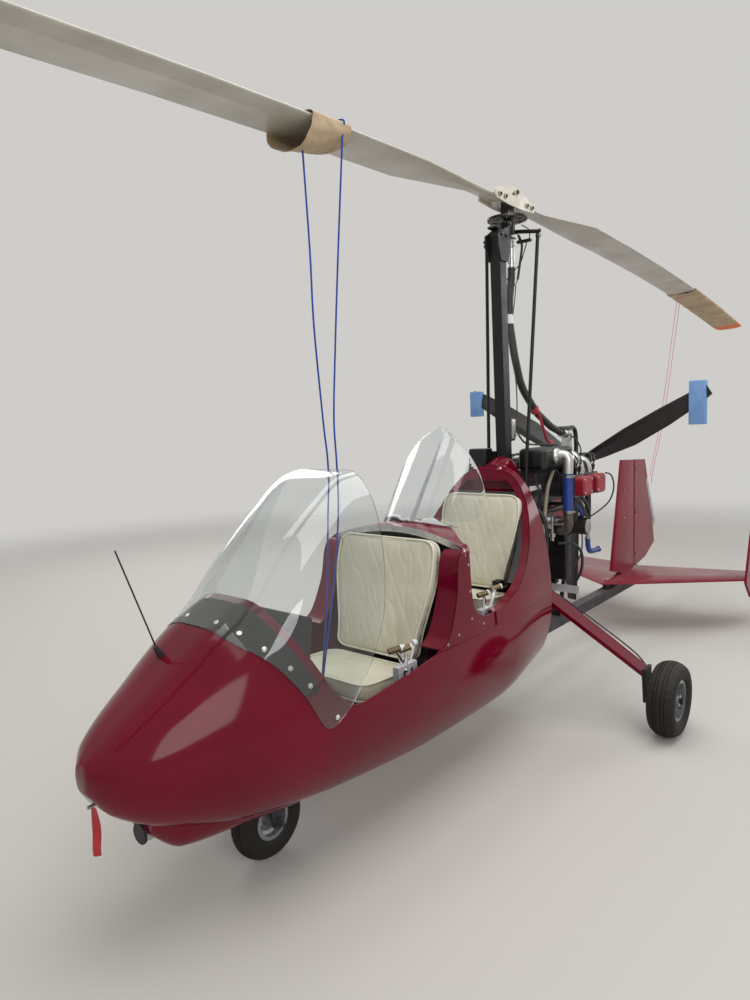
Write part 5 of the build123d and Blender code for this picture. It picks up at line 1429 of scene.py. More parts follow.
@dataclass
class Cockpits:
    """Seats, belts, dials, grips and lever quadrants."""

    def build(self) -> None:
        """Fit out both cockpits."""
        pan = ((212.0, 0.0), (212.0, 1.0))
        front = ((200.0, 0.02), (201.0, 0.2), (250.0, 0.67), (245.0, 1.0))
        rear = ((168.0, 0.02), (176.0, 0.2), (208.0, 0.6), (216.0, 0.82), (200.0, 1.0))
        for pad, node in (
            (Pad("front_seat_pad", (-1470, 560), (-1170, 540), 68.0, pan, 0.45), "seat_cushions"),
            (Pad("rear_seat_pad", (-640, 692), (-410, 668), 68.0, pan, 0.45), "seat_cushions"),
            (Pad("front_back_pad", (-1169, 552), (-1062, 1020), 50.0, front, 0.5), "seat_backs"),
            (Pad("rear_back_pad", (-420, 680), (-300, 1120), 66.0, rear, 0.5), "seat_backs"),
        ):
            pad.build(node)
        self.belts()
        self.dials()
        self.grips()
        self.quadrants()

    def belts(self) -> None:
        """Lay the lap belts beside the rear seat, with a buckle at each hip."""
        webbing = Builder()
        buckles = Builder()
        for side in (1, -1):
            line = [
                (side * 212, -238, 960), (side * 214, -300, 880), (side * 213, -352, 800),
                (side * 208, -392, 735), (side * 196, -420, 722), (side * 178, -452, 726),
            ]
            webbing.run(line, 13.0, 10, 6, 0.16)
            x, y, z = line[-1]
            buckles.block((x - 18, y - 34, z - 10), (x + 18, y + 16, z + 14), 5.0)
            buckles.turn((x, y - 12, z + 14), UP, ((-1, 9), (3, 9), (4, 7)), 20)
        webbing.finish("belt_webbing", WEBBING, angle=60.0)
        buckles.finish("belt_buckles", RESIN_BLACK)

    def dials(self) -> None:
        """Put bezels, faces and generic marks on the instruments."""
        bezels, faces, marks = Builder(), Builder(), Builder()
        way = Vector((0, 1, 0.1)).normalized()
        up = Vector((0, -0.1, 1)).normalized()
        for x in (-115.0, -38.0, 38.0, 115.0):
            foot = Vector((x, -1682.0, 790.6))
            bezels.lathe(foot, way, ((0, 27), (0, 33), (3, 33), (5, 30), (3, 27.5), (1, 27)), 36)
            faces.turn(foot, way, ((-1, 27), (0.6, 27)), 36)
            for k in range(12):
                a = 2 * math.pi * k / 12
                spot = foot + (Vector((1, 0, 0)) * math.sin(a) + up * math.cos(a)) * 22 + way * 0.9
                marks.block(spot - Vector((1, 0.4, 1)), spot + Vector((1, 0.4, 1)))
            needle = foot + way * 1.5
            tip = needle + (Vector((0.6, 0, 0)) + up * 0.8) * 18
            marks.tube([needle, needle.lerp(tip, 0.5), tip], 1.0, 6)
        bezels.finish("dial_bezels", POWDER_BLACK)
        faces.finish("dial_faces", DIAL_BLACK_AND_SLOT_SHADE)
        marks.finish("dial_marks", MARK_WHITE)

    def grips(self) -> None:
        """Ribbed rubber grips on the sticks."""
        grips = Builder()
        for y, top in ((-1530.0, 748.0), (-735.0, 830.0)):
            foot, tip = Vector((0, y - 25, top - 100)), Vector((0, y - 44, top + 22))
            length = (tip - foot).length
            profile = [(0, 0), (0, 18)]
            for k in range(8):
                at = 6 + (length - 20) * k / 8
                profile += [(at, 20.5), (at + 4, 21.0), (at + 7, 18.6)]
            profile += [(length - 4, 20), (length + 3, 16), (length + 6, 0)]
            grips.lathe(foot, tip - foot, profile, 24)
        grips.finish("stick_grips", HOSE_BLACK)

    def quadrants(self) -> None:
        """Put bronze grips with light ends, pivot bolts and black patches of painted shade for the slots on
        both lever quadrants.
        """
        arms, grips, ends, slots = Builder(), Builder(), Builder(), Builder()
        # Flat black patches on each quadrant's face: painted shade where its slots would look dark
        for y, z in ((-1340.0, 590.0), (-775.0, 668.0)):
            for step in (-22, 22):
                slots.block((311.6, y + step - 5, z - 34), (312.6, y + step + 5, z + 14), 0.4)
            slots.block((311.6, y - 46, z - 44), (312.6, y + 46, z - 40), 0.4)
        for pivot, tips in (
            ((-1350.0, 604.0), ((-1398.0, 690.0), (-1348.0, 682.0))),
            ((-768.0, 684.0), ((-798.0, 762.0), (-704.0, 770.0))),
        ):
            for k, (y, z) in enumerate(tips):
                x = 300.0 + 7 * k
                bend = ((pivot[0] + y) / 2 + 6, (pivot[1] + z) / 2)
                arms.run([(x, *pivot), (x, *bend), (x, y, z)], 6.0, 8, 5, 0.45)
                arms.bolt((x + 4, *pivot), (1, 0, 0), 12, 5)
                lean = Vector((0.55, 0.75, 0.22)).normalized()
                foot = Vector((x, y, z)) - lean * 26
                grips.lathe(foot, lean, ((0, 0), (0, 9), (3, 11.5), (46, 11.5), (48, 0)), 24)
                ends.turn(foot + lean * 47, lean, ((0, 11.5), (5, 11.5), (7, 9)), 24)
        arms.finish("lever_arms", SCREW_BRIGHT)
        slots.finish("quadrant_slot_shade", DIAL_BLACK_AND_SLOT_SHADE)
        grips.finish("lever_grips", BRONZE)
        ends.finish("lever_ends", MARK_WHITE)


@dataclass
class Tyres:
    """Tyres with grooves, standing for the plain ones, and their valves."""

    steps: int = 120
    groove: float = 4.0
    notch: float = 3.0

    def build(self) -> None:
        """Make the three tyres and fit their valves."""
        for name, x, y, z, width, rim, body in (
            ("port", 824.0, -34.0, 174.0, 122.0, 88.0, "port_wheel"),
            ("starboard", -824.0, -34.0, 174.0, 122.0, 88.0, "starboard_wheel"),
            ("nose", 0.0, -1767.0, 140.0, 92.0, 64.0, "nose_wheel"),
        ):
            middle = Vector((x, y, z))
            self.tyre(f"{name}_treaded_tyre", f"{name}_tyre", middle, z, width, rim, body)
            self.valve(name, middle, width, rim, body)

    def valve(self, name: str, middle: Vector, width: float, rim: float, body: str) -> None:
        """Fit a valve stem to the rim.

        Args:
            name: The wheel's name.
            middle: The wheel's middle, in millimetres.
            width: The tyre's width.
            rim: The rim's radius.
            body: The wheel's body.
        """
        out = -1 if middle.x < 0 else 1
        fitted = Builder()
        foot = middle + Vector((out * width * 0.20, 0.62 * rim, -0.62 * rim))
        fitted.lathe(foot, (out, 0.3, -0.3), ((0, 0), (0, 4.2), (14, 4.2), (15, 3), (26, 3), (27, 0)), 12)
        fitted.finish(f"{name}_valve", HOSE_BLACK, body=body)

    def tyre(
        self, name: str, node: str, middle: Vector, radius: float, width: float, rim: float, body: str
    ) -> None:
        """Build one tyre.

        Args:
            name: The piece's name.
            node: The plain tyre that it replaces.
            middle: The wheel's middle, in millimetres.
            radius: The tyre's radius.
            width: Its width.
            rim: The rim's radius.
            body: The wheel's body.
        """
        lip = rim + 5.3
        half = width / 2
        lip_x = width * 0.38
        crown = radius - (radius - lip) * 0.10
        shoulder = half * 0.62
        side = [
            (lip_x, lip), (half * 0.93, lip + (radius - lip) * 0.18), (half, lip + (radius - lip) * 0.45),
            (half * 0.93, lip + (radius - lip) * 0.72), (shoulder, crown),
        ]
        profile = [(lip_x - 5, rim), (lip_x - 5, lip), (lip_x, lip)]
        profile += [(p.x, p.y) for p in curve_through([(x, r, 0) for x, r in side], 4)[1:]]
        for share in (0.52, 0.45, 0.44, 0.36, 0.35, 0.22, 0.20, 0.16, 0.14, 0.05):
            x = share * half
            r = radius - (radius - crown) * (x / shoulder) ** 2
            grooved = share in (0.44, 0.36, 0.20, 0.16)
            profile.append((x, r - (self.groove if grooved else 0.0)))
        whole = profile + [(-x, r) for x, r in reversed(profile)]
        bm = bmesh.new()
        rings = []
        for k in range(self.steps):
            a = 2 * math.pi * k / self.steps
            ring = []
            for x, r in whole:
                notched = r > crown - 6 and abs(x) > half * 0.40 and (k + (1 if x > 0 else 0)) % 4 == 0
                out = r - (self.notch if notched else 0.0)
                spot = middle + Vector((x, out * math.cos(a), out * math.sin(a)))
                ring.append(bm.verts.new(spot * MM))
            rings.append(ring)
        bridge(bm, rings + rings[:1])
        dress(object_from(name, bm), RUBBER, node, body=body, angle=40.0)


@dataclass
class Rotor:
    """Sleeves, ropes and fasteners of the rotor."""

    hub_z: float = 2562.0
    droop: float = 34500.0
    chord: tuple[float, float] = (73.0, 161.0)
    half_thick: float = 20.0
    cloth: float = 0.0016
    orange_from: float = 4.11
    points_around: int = 72
    station: float = 14.0

    def level(self, r: float) -> float:
        """Height of the blade at a radius."""
        return self.hub_z - r * r / (2 * self.droop)

    def build(self) -> None:
        """Dress the rotor."""
        self.sleeve("front_sleeve", 1268.0, 1462.0, -1, 78.0)
        self.sleeve("aft_sleeve", 2760.0, 4285.0, 1, 10.0)
        self.ropes()
        self.bolts()

    def sleeve(self, name: str, start: float, end: float, side: int, hang: float) -> None:
        """Pull a canvas sleeve over a blade.

        Args:
            name: The piece's name.
            start: Where it starts, from the hub.
            end: Where it ends.
            side: -1 for the front blade and 1 for the aft one.
            hang: How far the cloth hangs under the blade.
        """
        around, stations = self.points_around, max(20, round((end - start) / self.station))
        short = end < 2000.0
        bm = bmesh.new()
        grid = []
        for k in range(stations + 1):
            share = k / stations
            edge = min(share, 1 - share) * (end - start)
            tie = 0.0 if short else math.exp(-((edge - 26) / 16) ** 2) * 0.7
            belly = hang * (0.45 + 0.55 * share) if short else hang * math.sin(math.pi * share) ** 0.6
            ring = []
            for j in range(around):
                a = 2 * math.pi * j / around
                x = math.cos(a) * self.chord[0 if math.cos(a) > 0 else 1]
                z = math.copysign(abs(math.sin(a)) ** 0.85, math.sin(a)) * self.half_thick
                if math.sin(a) < 0:
                    z -= belly * abs(math.sin(a)) * (1 - tie)
                r = start + (end - start) * share
                if short and math.sin(a) < 0:
                    r += 26.0 * abs(math.sin(a)) * (share - 0.45)
                p = Vector((x * 0.012, r * 0.014 + (3.1 if side > 0 else 0.0), z * 0.02))
                wave = noise.noise(p * 2.2) * 4.0 + noise.noise(Vector((a * 2.6, r * 0.045, side))) * 3.0
                wave *= 1 - 0.6 * tie
                if math.sin(a) > 0:
                    wave *= 0.4
                out = Vector((math.cos(a), 0.0, math.sin(a))) * wave
                spot = Vector((-side * (x + out.x), side * r, self.level(r) + z + out.z + 2.0))
                ring.append(bm.verts.new(spot * MM))
            grid.append(ring)
        bridge(bm, grid)
        if not short:
            bm.faces.new(grid[-1])
        piece = object_from(name, bm)
        thick = piece.modifiers.new("cloth_thickness", "SOLIDIFY")
        thick.thickness, thick.offset = self.cloth, 1.0
        settle(piece)
        dress(piece, CANVAS, "blade_sleeves", body="rotor", angle=70.0)
        if not short:
            piece.data.materials.append(CANVAS_ORANGE.material())
            for face in piece.data.polygons:
                if face.center.y * side > self.orange_from:
                    face.material_index = 1

    def ropes(self) -> None:
        """Tie the blades down: a blue doubled rope in front, a pink cord behind."""
        blue = Builder()
        foot = (60.0, -1529.0, 535.0)
        for line in (
            ((-20, -1424, 2452), (10, -1440, 2100), (20, -1446, 1831), (-23, -1375, 1498), (-20, -1362, 1330),
             (-21, -1375, 1131), (20, -1440, 860), foot),
            ((66, -1304, 2530), (44, -1330, 2100), (30, -1353, 1738), (30, -1373, 1502), (34, -1372, 1330),
             (36, -1380, 1131), (48, -1440, 860), foot),
        ):
            blue.run(line, 3.4, 8, 8)
        loop = [
            (66, -1304, 2534), (76, -1306, 2546), (60, -1308, 2558), (-40, -1300, 2566), (-150, -1290, 2560),
            (-168, -1290, 2546), (-130, -1296, 2526), (-20, -1304, 2520), (50, -1304, 2526),
        ]
        blue.run(loop + loop[:1], 3.4, 8, 5)
        blue.finish("blue_tie_rope", ROPE_BLUE, body="rotor", angle=80.0)
        pink = Builder()
        for line in (
            ((10, 2790, 2436), (10, 2620, 2000), (10, 2381, 1410), (18, 2150, 1060), (24, 2130, 1020)),
            ((30, 2800, 2436), (30, 2640, 2020), (26, 2400, 1420), (26, 2180, 1060), (24, 2150, 960)),
        ):
            pink.run(line, 2.2, 8, 8)
        pink.finish("pink_tie_cord", ROPE_PINK, body="rotor", angle=80.0)

    def bolts(self) -> None:
        """Bolt the hub plates: dark nuts on bronze washers."""
        nuts, washers = Builder(), Builder()
        for side in (1, -1):
            for y in (-165, -110, 110, 165):
                washers.turn((side * 51, y, 2562), (side, 0, 0), ((0, 13), (2, 13)), 24)
                nuts.bolt((side * 53, y, 2562), (side, 0, 0), 19, 9, False)
                nuts.lathe((side * 60, y, 2562), (side, 0, 0), ((0, 0), (0, 5), (4, 5), (5, 0)), 12)
            washers.turn((side * 59, 0, 2604), (side, 0, 0), ((0, 13), (3, 12)), 24)
            nuts.bolt((side * 61, 0, 2604), (side, 0, 0), 17, 6, False)
            nuts.bolt((side * 51, -30, 2590), (side, 0, 0), 12, 6, False)
        nuts.finish("hub_nuts", POWDER_BLACK, body="rotor")
        washers.finish("hub_washers", BRONZE, body="rotor")


@dataclass
class Propeller:
    """Foam boards pushed over the tips of the two upper blades."""

    middle: float = 816.0
    half_thick: float = 24.0

    def build(self) -> None:
        """Make both boards; the photograph shows the third blade bare."""
        boards = Builder()
        for x0, x1, z0, z1 in ((659, 744, 1418, 1656), (-734, -653, 1506, 1672)):
            low = (x0, self.middle - self.half_thick, z0)
            boards.block(low, (x1, self.middle + self.half_thick, z1), 5.0)
        boards.finish("blade_tip_boards", FOAM_BLUE, "prop_covers", body="propeller")


@dataclass
class MastHead:
    """The bearing head, the bolts, cables, clamps and hose bands round it, and the mast's hood."""

    def build(self) -> None:
        """Dress the top of the mast."""
        self.bolts()
        self.cables()
        self.clamps()
        self.head()
        self.drive()
        self.fairing()

    def bolts(self) -> None:
        """Bolt the cheeks to the mast and the joints of the control rods."""
        bolts = Builder()
        for side in (1, -1):
            for y, z in ((-126, 2384), (-82, 2384)):
                bolts.bolt((side * 38.3, y, z), (side, 0, 0), 14, 6)
            bolts.bolt((side * 52.3, -73, 2439), (side, 0, 0), 17, 5)
            bolts.bolt((side * 154, 42, 2408), (side, 0, 0), 15, 8)
            bolts.turn((side * 139, 42, 2386), (side, 0, 0), ((0, 12), (18, 12)), 20)
            bolts.bolt((side * 118, -45, 1083), (side, 0, 0), 13, 6)
        bolts.finish("head_bolts", ZINC_DARK)

    def cables(self) -> None:
        """Hang the small bracket's cables and spring beside the starter's hose."""
        black = Builder()
        black.block((-4, 100, 2384), (74, 122, 2398), 2.0)
        for x in (6, 22, 40, 58):
            black.turn((x, 99, 2391), (0, -1, 0), ((0, 5), (3, 5)), 12)
        for line, radius in (
            (((30, 60, 2410), (26, 92, 2392), (21, 112, 2363), (10, 112, 2290), (-5, 112, 2205)), 6.5),
            (((-5, 112, 2207), (-12, 112, 2190), (-16, 112, 2178), (-22, 110, 2110), (-32, 106, 2029)), 2.6),
            (((50, 112, 2386), (30, 112, 2330), (8, 112, 2280),
              (-30, 106, 2246), (-60, 90, 2205), (-74, 74, 2167)), 2.8),
            (((64, 112, 2398), (66, 108, 2440), (30, 92, 2470)), 2.6),
            (((6, 112, 2398), (2, 100, 2430), (-14, 70, 2452)), 2.6),
        ):
            black.run(line, radius, 8, 6)
        black.finish("head_cables", HOSE_BLACK)
        knots = Builder()
        for p in ((-5, 112, 2203), (-16, 112, 2177)):
            knots.turn(p, UP, ((0, 6), (7, 6)), 10)
        knots.finish("spring_ends", ZINC)

    def clamps(self) -> None:
        """Clamp the hose, and wrap its light band."""
        clamps = Builder()
        for z in (2398, 2376, 2290):
            clamps.band((-42, 112, z), UP, 17, 20.5, 9, 28)
            clamps.block((-64, 104, z), (-56, 120, z + 9), 1.5)
        for foot in ((30, 548, 1394), (30, 600, 1389)):
            clamps.band(foot, (0, 1, -0.1), 24, 27.5, 11, 28)
        clamps.finish("hose_clamps", ZINC)
        route = starter_hose_route()
        band = Builder()
        spot = min(route, key=lambda p: abs(p.z - 2004))
        after = min(route, key=lambda p: abs(p.z - 1960))
        way = (after - spot).normalized()
        band.band(spot - way * 24, way, 19, 21.6, 48, 36)
        band.finish("hose_band", MARK_WHITE)
        tape = Builder()
        spot = min(route, key=lambda p: abs(p.z - 1540))
        after = min(route, key=lambda p: abs(p.z - 1525))
        tape.lathe(spot, after - spot, ((0, 19), (0, 24), (22, 25), (34, 22), (34, 19)), 24)
        strap = [
            (46, 214, 1546), (48, 236, 1500), (44, 290, 1430), (38, 340, 1372), (34, 372, 1350),
            (30, 396, 1338),
        ]
        tape.run(strap, 8.0, 8, 6, 0.35)
        tape.turn((30, 392, 1336), (0, 1, 0.1), ((0, 14), (26, 16), (34, 9)), 16)
        tape.finish("red_strap", RIBBON_RED)

    def head(self) -> None:
        """Build the bearing head with its sloping nose, its control arm and the starter's shelf."""
        head = Builder()
        head.lathe((0, 0, 2414.3), UP, ((0, 20), (0, 36), (3, 38), (45, 38), (48, 36), (48, 20)), 40)
        head.tube(((-38, 42, 2425), (0, 42, 2425), (38, 42, 2425)), 10.0, 20)
        for side in (1, -1):
            head.tube(((side * 30, 42, 2426), (side * 90, 42, 2416), (side * 156, 42, 2405)), 10.0, 20)
        head.block((-64, 10, 2414.3), (-20, 130, 2422), 1.5)
        nose = ((-152, 2414.3), (-152, 2422), (-112, 2444), (-60, 2458), (-26, 2462), (-26, 2414.3))
        shell = prism("bearing_nose", soften(nose, 8.0), 27.5)
        dress(shell, POWDER_BLACK, "bearing_head")
        head.finish("bearing_housing", POWDER_BLACK, "bearing_head")

    def drive(self) -> None:
        """Sleeve the rotor starter's shaft with a bright tube."""
        tube = Builder()
        tube.turn((-42, 112, 2266), UP, ((0, 18.6), (96, 18.6), (98, 15), (136, 15)), 28)
        tube.finish("starter_drive_tube", PIPE_BRIGHT)

    def fairing(self) -> None:
        """Hood the foot of the mast behind the headrest."""
        rings = []
        for y, half, top, low in (
            (-198, 58, 1262, 1180), (-150, 60, 1284, 1178), (-100, 61, 1296, 1172), (-60, 62, 1294, 1166),
            (-20, 60, 1272, 1150), (10, 56, 1232, 1130), (28, 48, 1180, 1110),
        ):
            ring = []
            for k in range(17):
                t = -1 + k / 8
                ring.append((half * t * MM, y * MM, (top - (top - low) * 0.55 * abs(t) ** 2.6) * MM))
            ring += [(half * MM, y * MM, low * MM), (-half * MM, y * MM, low * MM)]
            rings.append(ring)
        hood = closed_rings("mast_hood", rings)
        dress(hood, GELCOAT, angle=50.0)


def starter_hose_route() -> list[Vector]:
    """Follow the starter's hose.

    Returns:
        Points along it, in millimetres.
    """
    return curve_through(
        ((-42, 112, 2271), (-42, 112, 2215), (-36, 84, 2110), (-30, 62, 1997), (-4, 60, 1815), (18, 98, 1650),
         (28, 215, 1530), (30, 330, 1466), (30, 430, 1428), (30, 560, 1392)), 10
    )


@dataclass
class Engine:
    """Ducts, hoses, leads, tank and fittings round the engine."""

    engine_z: float = 1118.0

    def build(self) -> None:
        """Dress the engine."""
        self.ducts()
        self.hoses()
        self.leads()
        self.small_parts()
        self.tank()
        self.wires()

    def ducts(self) -> None:
        """Fit the bright funnel, its elbow, the pipes behind it and their clamps."""
        bright = Builder()
        bright.turn((194, 134, 1284), (1, 0, 0), ((0, 41), (6, 41), (14, 36), (20, 28)), 36)
        elbow = ((206, 140, 1286), (232, 148, 1285), (249, 152, 1268), (251, 151, 1232), (250, 150, 1192))
        bright.run(elbow, 27.0, 24, 6)
        for y, top in ((300, 1262), (400, 1252)):
            line = (
                (150, y - 46, top - 14), (196, y - 20, top), (234, y + 6, top - 8), (248, y + 18, top - 46),
                (248, y + 22, 1180),
            )
            bright.run(line, 17.0, 18, 6)
        bright.run(((120, 420, 1226), (150, 470, 1240), (190, 500, 1222), (214, 512, 1188)), 13.0, 16, 6)
        bright.finish("bright_ducts", PIPE_BRIGHT)
        clamps = Builder()
        for z in (1180, 1176, 994, 990):
            clamps.band((250, 150, z - 6), UP, 25, 29.5, 9, 30)
        clamps.block((276, 143, 1172), (286, 157, 1181), 1.5)
        clamps.block((276, 143, 986), (286, 157, 995), 1.5)
        for y in (300, 400):
            clamps.band((248, y + 22, 1186), UP, 16, 20, 8, 24)
        clamps.finish("duct_clamps", ZINC)
        dull = Builder()
        low = ((250, 150, 986), (250, 150, 950), (246, 156, 914), (226, 168, 892), (190, 178, 884))
        dull.run(low, 25.5, 22, 6)
        dull.finish("lower_elbow", PIPE_DULL)

    def hoses(self) -> None:
        """Run the black and blue hoses below the cylinders, and the tan one in front."""
        black, blue, tan = Builder(), Builder(), Builder()
        for line, radius in (
            (((236, 206, 1078), (240, 262, 1062), (240, 330, 1010), (240, 392, 940), (234, 420, 900)), 15.0),
            (((236, 252, 1100), (240, 320, 1064), (240, 400, 1010), (240, 440, 960), (236, 452, 915)), 11.0),
            (((150, 250, 800), (190, 330, 790), (226, 372, 740), (226, 376, 640), (190, 372, 560)), 8.0),
            (((120, 60, 1010), (150, 70, 960), (160, 80, 860), (150, 90, 760), (120, 110, 660)), 12.0),
            (((90, 40, 1020), (96, 60, 900), (92, 80, 760), (84, 100, 640), (60, 120, 520)), 9.0),
        ):
            black.run(line, radius, 14, 6)
        for line, radius in (
            (((222, 262, 1040), (228, 300, 1015), (232, 345, 978), (232, 381, 944)), 13.0),
            (((150, 640, 770), (150, 648, 720), (152, 668, 690), (156, 720, 684), (158, 778, 684)), 15.0),
        ):
            blue.run(line, radius, 16, 6)
        line = (
            (150, 214, 1226), (158, 150, 1180), (156, 106, 1109), (152, 84, 994), (150, 64, 879),
            (150, 60, 790),
        )
        tan.run(line, 10.0, 14, 7)
        black.finish("engine_hoses", HOSE_BLACK)
        blue.finish("blue_hoses", SILICONE_BLUE)
        tan.finish("tan_hose", TAN_HOSE)
        ends = Builder()
        for foot, way in (
            ((150, 640, 768), UP), ((158, 776, 684), (0, 1, 0)), ((232, 378, 946), (0, 0.7, -0.7)),
        ):
            ends.turn(foot, way, ((0, 18), (10, 18), (10, 12), (26, 12)), 20)
        ends.finish("hose_ends", ZINC)

    def leads(self) -> None:
        """Lead plug wires to the cylinders, and screw the rocker covers."""
        leads, plugs, screws = Builder(), Builder(), Builder()
        for side in (1, -1):
            for y in (270, 450):
                for z in (-34, 34):
                    for step in (-44, 44):
                        screws.screw((side * 312, y + step, self.engine_z + z), (side, 0, 0), 4.0)
                for step in (-22, 22):
                    foot = Vector((side * 244, y + step, self.engine_z + 60))
                    plugs.turn(foot, (side * 0.2, 0, 1), ((-4, 9), (14, 9), (18, 12), (40, 11), (46, 5)), 16)
                    top = foot + Vector((side * 9, 0, 46))
                    line = [
                        top, top + Vector((side * 6, 8, 26)), top + Vector((-side * 40, 60, 52)),
                        (side * 60, 520, 1262), (side * 40, 560, 1230),
                    ]
                    leads.run(line, 4.2, 8, 7)
            loop = [
                (side * 318, 486, 1172), (side * 322, 560, 1150), (side * 316, 612, 1080),
                (side * 290, 612, 1000), (side * 240, 560, 940), (side * 200, 480, 905),
            ]
            leads.run(loop, 4.5, 8, 7)
        leads.finish("plug_leads", HOSE_BLACK)
        plugs.finish("plug_caps", RESIN_BLACK)
        screws.finish("cover_screws", ZINC)

    def small_parts(self) -> None:
        """Add the gearbox bracket, the regulator, the filter, the blank tag and the carburettor bits."""
        black, silver, tag, tan = Builder(), Builder(), Builder(), Builder()
        black.block((12, 500, 1408), (50, 690, 1430), 4.0)
        hose = ((30, 680, 1420), (34, 712, 1416), (38, 730, 1380), (40, 734, 1300), (38, 726, 1250))
        black.run(hose, 13.0, 14, 6)
        black.block((-20, -42, 1370), (26, 8, 1490), 5.0)
        black.block((-150, 214, 1216), (-50, 420, 1262), 8.0)
        for x in (150, -150):
            black.turn((x, 300, 1210), (0, 1, 0), ((0, 30), (10, 34), (70, 34), (80, 28)), 28)
        black.block((-104, 350, 600), (-30, 500, 720), 6.0)
        silver.block((27, -38, 1380), (31, 4, 1480), 1.0)
        silver.turn((30, 612, 1388), (0, 1, -0.1), ((0, 27), (30, 27), (30, 22), (44, 22)), 28)
        silver.turn((180, 110, 838), UP, ((0, 9), (22, 9), (22, 16), (40, 16), (44, 6), (130, 6)), 20)
        for y in (238, 330, 422, 510):
            silver.bolt((106, y, 1206), UP, 14, 7)
            silver.bolt((-106, y, 1206), UP, 14, 7)
        silver.turn((252, 400, 880), (1, 0, 0), ((0, 40), (3, 40), (5, 34)), 36)
        tag.block((106, 22, 1108), (110, 128, 1132), 1.5)
        tag.turn((108, 14, 1120), (1, 0, 0), ((-3, 14), (3, 14)), 20)
        tan.block((40, 404, 636), (76, 500, 706), 3.0)
        black.finish("engine_fittings", RESIN_BLACK)
        silver.finish("engine_metalwork", ZINC)
        tag.finish("blank_tag", TAG_WHITE)
        tan.finish("tan_block", TAN_HOSE)

    def tank(self) -> None:
        """Hang the oil tank over the blank plate, with its cap."""
        tank = Builder()
        tank.block((-52, 286.3, 588), (178, 349.5, 850), 12.0)
        tank.block((60, 300, 560), (110, 340, 590), 4.0)
        tank.finish("oil_tank_moulding", RESIN_BLACK, "oil_tank")

    def wires(self) -> None:
        """Bundle thin wires along the mast, the box and the engine."""
        wires = Builder()
        for line, radius in (
            (((-110, -100, 1228), (-122, -120, 1190), (-140, -150, 1180),
              (-150, -168, 1210), (-140, -160, 1250), (-120, -130, 1262)), 4.0),
            (((-60, -60, 1310), (-44, -20, 1330), (-10, 10, 1360), (20, 30, 1400)), 4.0),
            (((20, 6, 1480), (30, 20, 1520), (24, 30, 1640), (10, 26, 1800), (-10, 20, 1960)), 3.2),
            (((30, 10, 1420), (60, 40, 1360), (70, 120, 1344),
              (90, 200, 1340), (130, 300, 1320), (150, 380, 1270)), 5.0),
            (((60, 300, 1340), (110, 330, 1330), (180, 360, 1300), (230, 420, 1250)), 3.6),
            (((-40, 60, 1230), (-60, 160, 1240), (-80, 300, 1250), (-60, 460, 1240)), 6.0),
            (((110, 60, 1160), (130, 70, 1100), (120, 80, 1040), (90, 60, 1000)), 5.0),
            (((70, 610, 1000), (110, 600, 900), (150, 560, 800), (160, 520, 700), (120, 470, 590)), 4.0),
            (((40, 640, 1380), (80, 660, 1340), (110, 640, 1280), (100, 600, 1230)), 4.5),
        ):
            wires.run(line, radius, 8, 7)
        wires.finish("wire_bundles", HOSE_BLACK, angle=70.0)


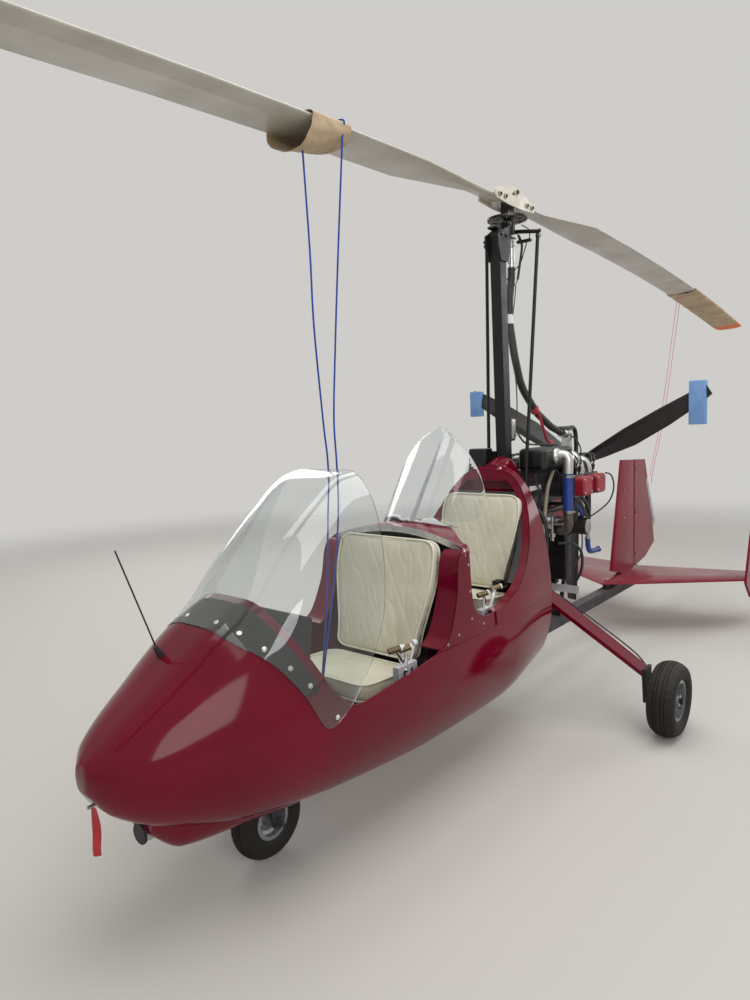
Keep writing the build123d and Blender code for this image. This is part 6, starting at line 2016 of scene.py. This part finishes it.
@dataclass
class Fittings:
    """The lamp's bowl, the pitot's ribbon, the tail's screws, and the gear's bolts and brake lines."""

    ribbon_size: tuple[float, float] = (0.024, 0.150)
    ribbon_foot: tuple[float, float] = (-2.374, 0.459)

    def build(self) -> None:
        """Fit the small things outside."""
        self.lamp()
        self.ribbon()
        self.tail()
        self.gear()

    def lamp(self) -> None:
        """Set a bright bowl and a bezel round the landing lamp."""
        bowl, bezel = Builder(), Builder()
        bowl.turn((0, -2228, 316), (0, 1, 0), ((0, 6), (4, 16), (-8, 28), (-6, 29), (24, 20)), 36)
        bezel.lathe((0, -2247, 316), (0, 1, 0), ((0, 28), (0, 31), (2, 33), (7, 33), (8, 28)), 40)
        bowl.finish("lamp_bowl", ZINC)
        bezel.finish("lamp_bezel", POWDER_BLACK)

    def ribbon(self) -> None:
        """Hang a red ribbon from the pitot tube."""
        rows, columns = 28, 6
        width, length = self.ribbon_size
        foot_y, foot_z = self.ribbon_foot
        bm = bmesh.new()
        grid = []
        for k in range(rows + 1):
            s = k / rows
            sway = 0.010 * math.sin(s * 5.2) * s
            turn = 0.9 * s + 0.35 * math.sin(s * 4.0)
            z = foot_z - length * s * 0.985
            row = []
            for j in range(columns + 1):
                t = (j / columns - 0.5) * width
                curl = 0.003 * math.cos(j / columns * math.pi * 2) * s
                spot = (t * math.cos(turn) + sway, foot_y + t * math.sin(turn) + curl, z)
                row.append(bm.verts.new(spot))
            grid.append(row)
        bridge(bm, grid, around=False)
        piece = object_from("pitot_ribbon", bm, outward=False)
        thick = piece.modifiers.new("thickness", "SOLIDIFY")
        thick.thickness = 0.0008
        settle(piece)
        dress(piece, RIBBON_RED, angle=70.0)

    def tail(self) -> None:
        """Screw the tail's hinges, tips and tab, and bolt the stabiliser down."""
        screws = Builder()
        for side in (1, -1):
            for y, z in ((1608, 560), (1600, 760), (1596, 960), (1700, 430), (1780, 430)):
                screws.screw((side * 17, y, z), (side, 0, 0), 2.6)
            for y, z in ((1900, 352), (2060, 352), (2210, 352)):
                screws.screw((side * 750, y, z), (side, 0, 0), 3.4)
            for z in (1040, 940, 840, 740, 660):
                share = (1007 - z) / (1007 - 635)
                screws.screw((side * 3, 2121 + 195 * share - 10, z), (side, 0, 0), 2.2)
        for y in (1307, 1857):
            for x in (-11, 11):
                for step in (-11, 11):
                    screws.bolt((x, y + step, 375), UP, 9, 4)
        screws.finish("tail_screws", ZINC)

    def gear(self) -> None:
        """Bolt the legs in their saddle and to the axle brackets, and run the brake lines."""
        bolts, lines = Builder(), Builder()
        for side in (1, -1):
            for y in (-82, -48, -8, 22):
                bolts.bolt((side * 118, y, 674), UP, 14, 7)
            line = [
                (side * 40, 40, 640), (side * 130, 52, 620), (side * 300, 34, 545), (side * 500, 30, 432),
                (side * 640, 26, 346), (side * 700, 20, 290), (side * 728, 10, 246),
            ]
            lines.run(line, 4.0, 8, 8)
        bolts.finish("saddle_bolts", ZINC_DARK)
        lines.finish("brake_lines", HOSE_BLACK, angle=70.0)


def dress_nodes() -> None:
    """Give every node of the frame its finish and a smooth shading."""
    for finish, names in NODE_FINISHES:
        for name in names.split():
            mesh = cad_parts[name].data
            mesh.materials.clear()
            mesh.materials.append(finish.material())
            smooth(mesh, 30.0)


def main() -> None:
    """Build the studio and dress the whole gyrocopter."""
    Studio().build()
    dress_nodes()
    for kind in (Pod, MidCowl, Screens, Cockpits, Tyres, Rotor, Propeller, MastHead, Engine, Fittings):
        kind().build()
        LOG.info("%s is built", kind.__name__)


if __name__ == "__main__":
    logging.basicConfig(level=logging.INFO)
    main()
